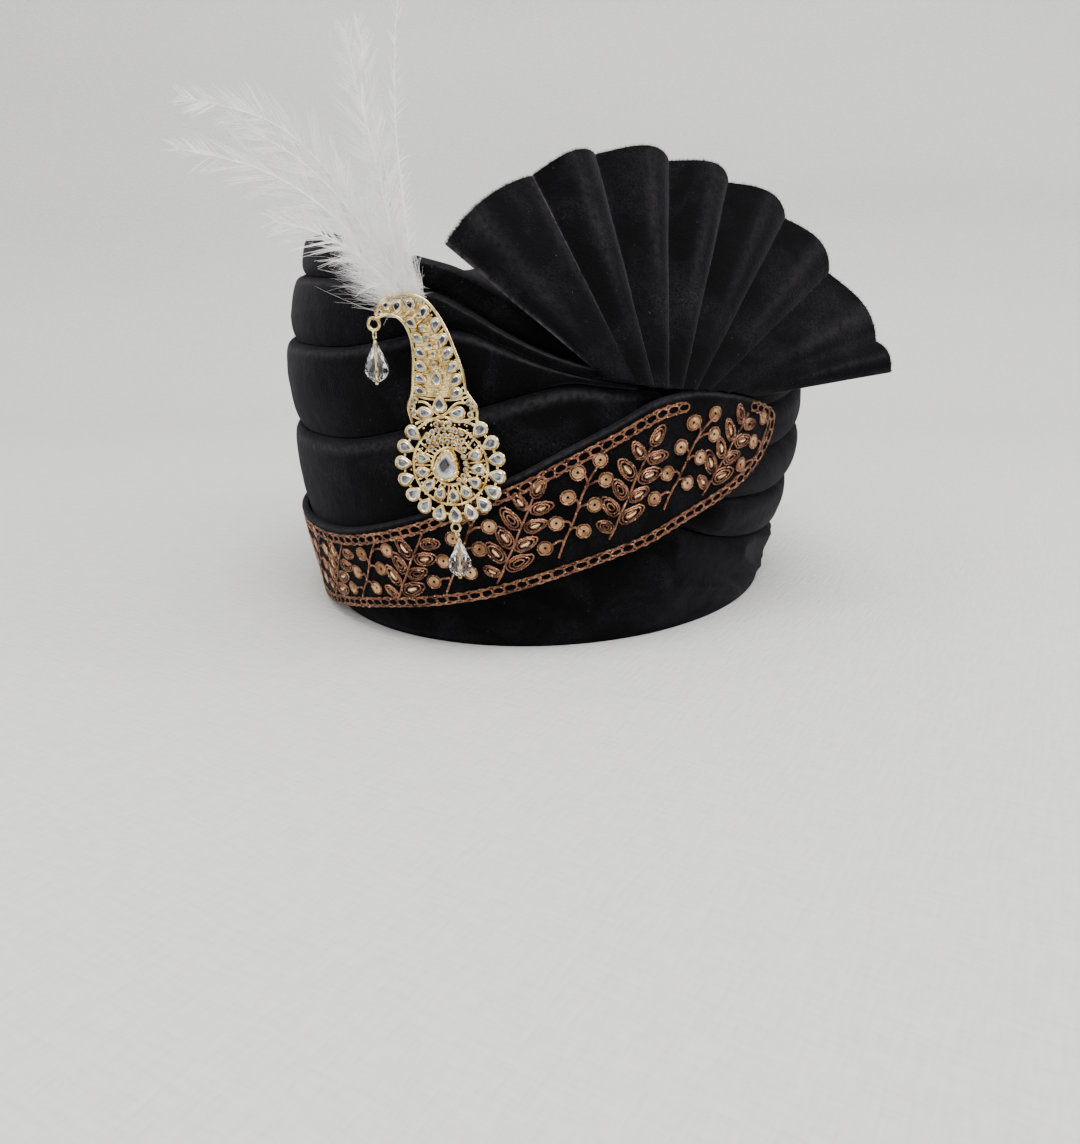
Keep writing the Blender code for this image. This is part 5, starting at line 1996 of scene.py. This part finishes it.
        # The third number of each level is the stone's share of painted dark reflection.
        levels = ((1.02, 2.1, 0.0), (0.84, 2.9, 0.25), (0.62, 3.5, 0.6), (0.40, 3.75, 1.0))
        cut = []
        for k, (size, level, _) in enumerate(levels):
            line = self.outline(gem, 32, size=size)[k % 2::2]
            cut.append(self.raise_line(line, level))
        painted_light = np.array([[dark] * 16 for _, _, dark in levels])
        stones.grid(np.array(cut), around=True, ends=True, painted_light=painted_light)

    def build(self) -> list[Piece]:
        """The brooch and its two drops.

        Returns:
            The pieces.
        """
        gold, stones, centre = Skin(), Skin(), Skin()
        gems = self.ring_gems(self.outer_ring, self.outer_size)
        gems += self.ring_gems(self.second_ring, self.second_size)
        gems += self.pave_gems() + self.neck_gems()
        for gem in gems:
            self.set_stone(gold, stones, gem)
        self.add_openwork(gold, gems + [self.centre])
        self.add_centre(gold, centre)
        eye = self.circle(*self.eye, self.eye_radius, 30)[:-1]
        gold.tube(self.raise_line(eye, 1.2), 0.00062, sides=8, closed=True)
        ring = self.circle(*self.lower_ring, self.eye_radius * 0.8, 30)[:-1]
        gold.tube(self.raise_line(ring, 1.2), 0.0005, sides=8, closed=True)
        place = self.seat.matrix()
        pieces = [
            gold.build(
                "brooch_gold", [self.gold], "pale_gold", ["brooch_setting"], crease=50, place=place),
            stones.build("brooch_stones", [self.stone], "crystal", crease=8, place=place),
            centre.build(
                "brooch_centre_stone", [self.stone], "crystal", ["centre_stone"], crease=8, place=place),
        ]
        low_eye = (self.lower_ring[0], self.lower_ring[1] - self.eye_radius * 0.8)
        hooks = {"upper": (self.upper_drop, (self.eye[0], self.eye[1] - self.eye_radius)),
                 "lower": (self.lower_drop, low_eye)}
        for name, (spot, hook) in hooks.items():
            metal, glass = Skin(), Skin()
            self.add_drop(metal, glass, spot, hook)
            pieces.append(metal.build(
                f"{name}_drop_gold", [self.gold], "pale_gold", [f"{name}_drop_pin"], place=place))
            pieces.append(glass.build(
                f"{name}_drop_glass", [self.glass], "crystal", [f"{name}_drop_bead"],
                crease=4, place=place))
        return pieces


# Feather plume


@dataclass
class Quill:
    """One feather: its shaft's line in the brooch's frame, in millimetres, and its barbs."""

    line: tuple[tuple[float, float, float], ...]
    width: float
    barbs: int
    droop: float
    fluff: float


@dataclass
class Plume:
    """The white plume: slim feathers with long loose barbs, and a cloud of down at the root."""

    seat: BroochFrame
    finish: Finish
    quills: tuple[Quill, ...] = (
        Quill(((-12, 46, -2), (-21, 66, -1), (-34, 88, 4), (-51, 104, 9), (-79, 112, 13)),
              12, 260, 0.15, 0.4),
        Quill(((-12, 46, -2), (-22, 63, 1), (-37, 80, 7), (-55, 91, 12), (-80, 97, 16)),
              13, 240, 0.25, 0.5),
        Quill(((-12, 46, -2), (-19, 62, 0), (-30, 80, 4), (-44, 94, 8), (-61, 104, 11)),
              12, 260, 0.15, 0.6),
        Quill(((-12, 46, -2), (-17, 68, -1), (-21, 92, 1), (-25, 112, 3), (-28, 129, 4)),
              10, 300, 0.03, 0.5),
        Quill(((-13, 46, -2), (-15, 66, -2), (-19, 90, -1), (-23, 112, 0), (-25, 132, 1)),
              8, 220, 0.03, 0.4),
        Quill(((-13, 46, -2), (-13, 70, -2), (-15, 98, -1), (-14, 124, 0), (-10, 150, 1)),
              5, 50, 0.02, 0.2),
        Quill(((-12, 46, -2), (-19, 57, 1), (-28, 67, 6), (-39, 73, 10), (-51, 76, 13)),
              11, 170, 0.30, 0.8),
    )
    root: tuple[float, float, float] = (-13.2, 53.0, -2.6)
    down_hairs: int = 2900
    down_reach: float = 27.0
    down_share: float = 2.6
    barb_share: float = 1.7
    locks: int = 26
    shaft_radii: tuple[float, float] = (0.00045, 0.00014)
    barb_width: float = 0.00026
    down_width: float = 0.00010

    def ribbons(
        self, skin: Skin, start: Array, heading: Array, bend: Array,
        length: Array, width: float, steps: int,
    ) -> None:
        """Add fine hairs that bend as they grow.

        Args:
            skin: The piece that they are added to.
            start: Root of each hair.
            heading: Direction of each hair at its root.
            bend: What is added to its direction by its tip.
            length: Length of each hair.
            width: Width at the root.
            steps: How many straight steps each has.
        """
        count = len(start)
        point = start.copy()
        rows = []
        for k in range(steps + 1):
            share = k / steps
            direction = unit(heading + bend * share)
            side = unit(np.cross(direction, np.array([0.15, 0.05, 1.0])))
            half = width / 2 * (1 - 0.8 * share)
            rows.append(np.stack([point - side * half, point + side * half], 1))
            point = point + direction * (length / steps)[:, None]
        points = np.stack(rows, 1).reshape(-1, 3)
        corner = np.arange(count)[:, None, None] * 2 * (steps + 1)
        step = 2 * np.arange(steps)[None, :, None]
        faces = (corner + step + np.array([0, 1, 3, 2])[None, None, :]).reshape(-1, 4)
        skin.add(points, faces.tolist())

    def build_feather(self, skin: Skin, quill: Quill, seed: int) -> None:
        """Add one feather: its shaft, its barbs on both sides and its downy foot.

        Args:
            skin: The piece that it is added to.
            quill: The feather's line and barbs.
            seed: Seed of its chance.
        """
        chance = np.random.default_rng(seed)
        line = smooth_line(quill.line, 40) / 1000
        skin.tube(line, np.linspace(*self.shaft_radii, len(line)), sides=5)
        self.add_barbs(skin, line, quill, chance)
        down = int(quill.barbs * self.down_share * quill.fluff)
        start, along = self.read_line(line, chance.uniform(0.05, 0.55, down))
        heading = along * 0.9 + chance.normal(0, 0.45, (down, 3))
        bend = chance.normal(0, 0.8, (down, 3))
        length = quill.width / 1000 * chance.uniform(0.4, 1.1, down)
        self.ribbons(skin, start, heading, bend, length, self.down_width, 6)

    def read_line(self, line: Array, share: Array) -> tuple[Array, Array]:
        """Points and directions at shares of a line's length."""
        place = share * (len(line) - 1)
        k = np.minimum(place.astype(int), len(line) - 2)
        part = (place - k)[:, None]
        return line[k] * (1 - part) + line[k + 1] * part, unit(line[k + 1] - line[k])

    def add_barbs(
        self, skin: Skin, line: Array, quill: Quill, chance: np.random.Generator
    ) -> None:
        """Add the long loose barbs on both sides of a shaft, in locks that hang together.

        Args:
            skin: The piece that they are added to.
            line: The shaft's points.
            quill: The feather.
            chance: Its chance.
        """
        count = int(quill.barbs * self.barb_share)
        share = np.sort(chance.uniform(0.12, 1.0, count))
        start, along = self.read_line(line, share)
        side = unit(np.cross(along, np.array([0.0, 0.0, 1.0])))
        sign = np.where(chance.uniform(size=count) < 0.5, 1.0, -1.0)[:, None]
        lock = np.floor(share * self.locks + sign[:, 0] * 0.5).astype(int)
        sway = chance.normal(0, 1, (80, 3))[lock % 80]
        heading = along * (0.9 + 0.5 * share[:, None]) + side * sign * 0.75
        heading = heading + 0.16 * sway + chance.normal(0, 0.04, (count, 3))
        bend = along * (0.35 + 0.5 * share[:, None]) + side * sign * 0.15
        bend = bend + 0.34 * sway + chance.normal(0, 0.08, (count, 3))
        bend[:, 1] -= quill.droop
        taper = np.sin(np.pi * np.clip(share * 0.94, 0, 1)) ** 0.7
        length = quill.width / 1000 * taper * chance.uniform(0.75, 1.45, count)
        self.ribbons(skin, start, heading, bend, length, self.barb_width, 7)

    def build_down(self, skin: Skin) -> None:
        """Add the cloud of down that hides the quills' feet, swept to the wearer's right.

        Args:
            skin: The piece that it is added to.
        """
        chance = np.random.default_rng(77)
        count = self.down_hairs
        start = np.array(self.root) / 1000 + chance.normal(0, 1, (count, 3)) * np.array(
            [0.0018, 0.0026, 0.0008])
        angle = np.radians(chance.triangular(2, 28, 92, count))
        lift = np.radians(chance.normal(2, 13, count))
        heading = np.stack(
            [-np.sin(angle) * np.cos(lift), np.cos(angle) * np.cos(lift), np.sin(lift)], -1)
        bend = chance.normal(0, 0.28, (count, 3)) + np.array([-0.10, 0.0, 0.05])
        side = np.degrees(angle)
        reach = self.down_reach * (1 - 0.35 * soft_step(side, 45, 110))
        reach = reach * (0.75 + 0.25 * soft_step(side, -22, 5))
        length = reach / 1000 * chance.beta(2.2, 2.0, count) * 1.25
        self.ribbons(skin, start, heading, bend, length, self.down_width, 7)

    def build(self) -> Piece:
        """The plume, standing behind the brooch's top.

        Returns:
            The piece.
        """
        skin = Skin()
        for seed, quill in enumerate(self.quills):
            self.build_feather(skin, quill, 100 + seed)
        self.build_down(skin)
        return skin.build(
            "plume_feathers", [self.finish], "feather", ["plume"], place=self.seat.matrix())


# The place where it is shown


@dataclass
class Studio:
    """The pale floor and backdrop, the lights and the camera."""

    distance: float = 0.435
    eye_height: float = 0.1375
    eye_side: float = -0.0057
    turn: float = 30.0
    pitch: float = 18.1
    lens: float = 31.2
    sensor: float = 36.0
    wall_distance: float = 0.62
    bend: float = 0.22
    wall_slope: float = 77.4
    floor_gap: float = 0.0002
    ripple_depth: float = 0.014
    crease_depth: float = 0.005
    lights: tuple[tuple[str, float, float, float, float, float], ...] = (
        ("ceiling_light", 40, 68, 1.3, 0.8, 20),
        ("side_light", 110, 35, 1.2, 0.5, 6),
        ("front_light", -35, 30, 1.3, 0.7, 5),
    )

    def build_camera(self) -> None:
        """The camera, at the photograph's angle and above the floor."""
        turn = math.radians(self.turn)
        data = bpy.data.cameras.new("camera")
        data.lens = self.lens
        data.sensor_width = self.sensor
        data.clip_start = 0.01
        camera = bpy.data.objects.new("camera", data)
        right = Vector((math.cos(turn), math.sin(turn), 0))
        camera.location = Vector(
            (self.distance * math.sin(turn), -self.distance * math.cos(turn), self.eye_height))
        camera.location += right * self.eye_side
        camera.rotation_euler = Euler((math.radians(90 - self.pitch), 0, turn))
        bpy.context.scene.collection.objects.link(camera)
        bpy.context.scene.camera = camera

    def build_backdrop(self, finish: Finish) -> None:
        """One pale cloth that is the floor and rises behind in a soft curve.

        Args:
            finish: The cloth's material.
        """
        turn = math.radians(self.turn)
        away = np.array([-math.sin(turn), math.cos(turn), 0.0])
        right = np.array([math.cos(turn), math.sin(turn), 0.0])
        steps = np.linspace(-1.6, 1.6, 220)
        across = np.linspace(-1.7, 1.7, 160)
        bend, wall = self.bend, math.radians(self.wall_slope)
        run = np.maximum(steps - (self.wall_distance - bend), 0)
        angle = np.minimum(run / bend, wall)
        straight = np.maximum(run - bend * wall, 0)
        forward = np.minimum(steps, self.wall_distance - bend) + bend * np.sin(angle)
        forward = forward + straight * math.cos(wall)
        height = bend * (1 - np.cos(angle)) + straight * math.sin(wall) - self.floor_gap
        points = forward[:, None, None] * away + across[None, :, None] * right
        points[..., 2] += height[:, None]
        flat = xyz(steps[:, None], across[None, :], 0.0)
        ripple = patches(flat, (2.2, 4.2, 1.0), 5.0)
        creased = patches(flat, (7.0, 3.0, 1.0), 9.0)
        creased = np.sign(creased) * np.abs(creased) ** 0.6
        rough = soft_step(steps, self.wall_distance - bend * 1.6, self.wall_distance)[:, None]
        relief = (ripple * self.ripple_depth + creased * self.crease_depth) * rough
        tilt = xyz(-away[0] * np.sin(angle), -away[1] * np.sin(angle), np.cos(angle))
        points = points + tilt[:, None, :] * relief[..., None]
        skin = Skin()
        skin.grid(points)
        mesh = bpy.data.meshes.new("backdrop")
        mesh.from_pydata(np.concatenate(skin.points).tolist(), [], skin.faces)
        mesh.materials.append(finish)
        mesh.shade_smooth()
        backdrop = bpy.data.objects.new("backdrop", mesh)
        bpy.context.scene.collection.objects.link(backdrop)
        backdrop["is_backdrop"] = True

    def build_light(
        self, name: str, azimuth: float, elevation: float, distance: float, size: float, watts: float
    ) -> None:
        """A square soft light that looks at the turban.

        Args:
            name: The light's name.
            azimuth: Degrees round from the front.
            elevation: Degrees above the floor.
            distance: Metres away.
            size: Side of the light.
            watts: Its power.
        """
        data = bpy.data.lights.new(name, "AREA")
        data.energy = watts
        data.size = size
        data.color = (1.0, 0.985, 0.96)
        light = bpy.data.objects.new(name, data)
        a, e = math.radians(azimuth), math.radians(elevation)
        back = Vector((math.sin(a) * math.cos(e), -math.cos(a) * math.cos(e), math.sin(e)))
        light.location = back * distance + Vector((0, 0, 0.08))
        light.rotation_mode = "QUATERNION"
        light.rotation_quaternion = back.to_track_quat("Z", "Y")
        bpy.context.scene.collection.objects.link(light)

    def build_world(self) -> None:
        """Soft light from all round, brighter above."""
        world = bpy.data.worlds.new("room")
        bpy.context.scene.world = world
        world.use_nodes = True
        tree = world.node_tree
        ground = tree.nodes["Background"]
        place = tree.nodes.new("ShaderNodeTexCoord")
        split = tree.nodes.new("ShaderNodeSeparateXYZ")
        spread = tree.nodes.new("ShaderNodeMapRange")
        spread.interpolation_type = "SMOOTHERSTEP"
        tree.links.new(place.outputs["Generated"], split.inputs[0])
        tree.links.new(split.outputs["Z"], spread.inputs["Value"])
        for name, value in (("From Min", -0.3), ("From Max", 1.0), ("To Min", 0.14), ("To Max", 1.60)):
            spread.inputs[name].default_value = value
        tree.links.new(spread.outputs["Result"], ground.inputs["Strength"])
        ground.inputs["Color"].default_value = (1.0, 0.99, 0.975, 1.0)

    def build(self, finish: Finish) -> None:
        """Everything round the turban."""
        self.build_camera()
        self.build_backdrop(finish)
        self.build_world()
        for light in self.lights:
            self.build_light(*light)


def write_sizes() -> None:
    """Gather the CAD box and the dressed turban's box as plain numbers."""
    boxes = {"cad": CAD_BOX, "visual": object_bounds()}
    plain = {name: [[float(v) for v in corner] for corner in box] for name, box in boxes.items()}


def main() -> None:
    """Build and dress the turban, then the place round it."""
    logging.basicConfig(level=logging.INFO, format="%(message)s")
    form = Form()
    velvet = Velvet().material()
    Studio().build(PaleCloth().material())
    Cap(form, velvet, Lining().material()).build()
    Wraps(form, velvet).build()
    border = BandGround(form, velvet)
    ground = border.build()
    slip = Gold(name="bright_slip", light=(0.95, 0.70, 0.40), deep=(0.62, 0.34, 0.16)).material()
    border.sew(ground, Embroidery(form, Zari().material(), Sequin().material(), slip).build())
    # The fan's velvet takes a lighter painted highlight colour.
    Fan(form, Velvet(name="fan_pile_velvet", painted_highlight=(0.085, 0.078, 0.092)).material()).build()
    seat = BroochFrame(form)
    Brooch(seat, Gold().material(), FoiledStone().material(), Crystal().material()).build()
    Plume(seat, Feather().material()).build()
    write_sizes()


if __name__ == "__main__":
    main()
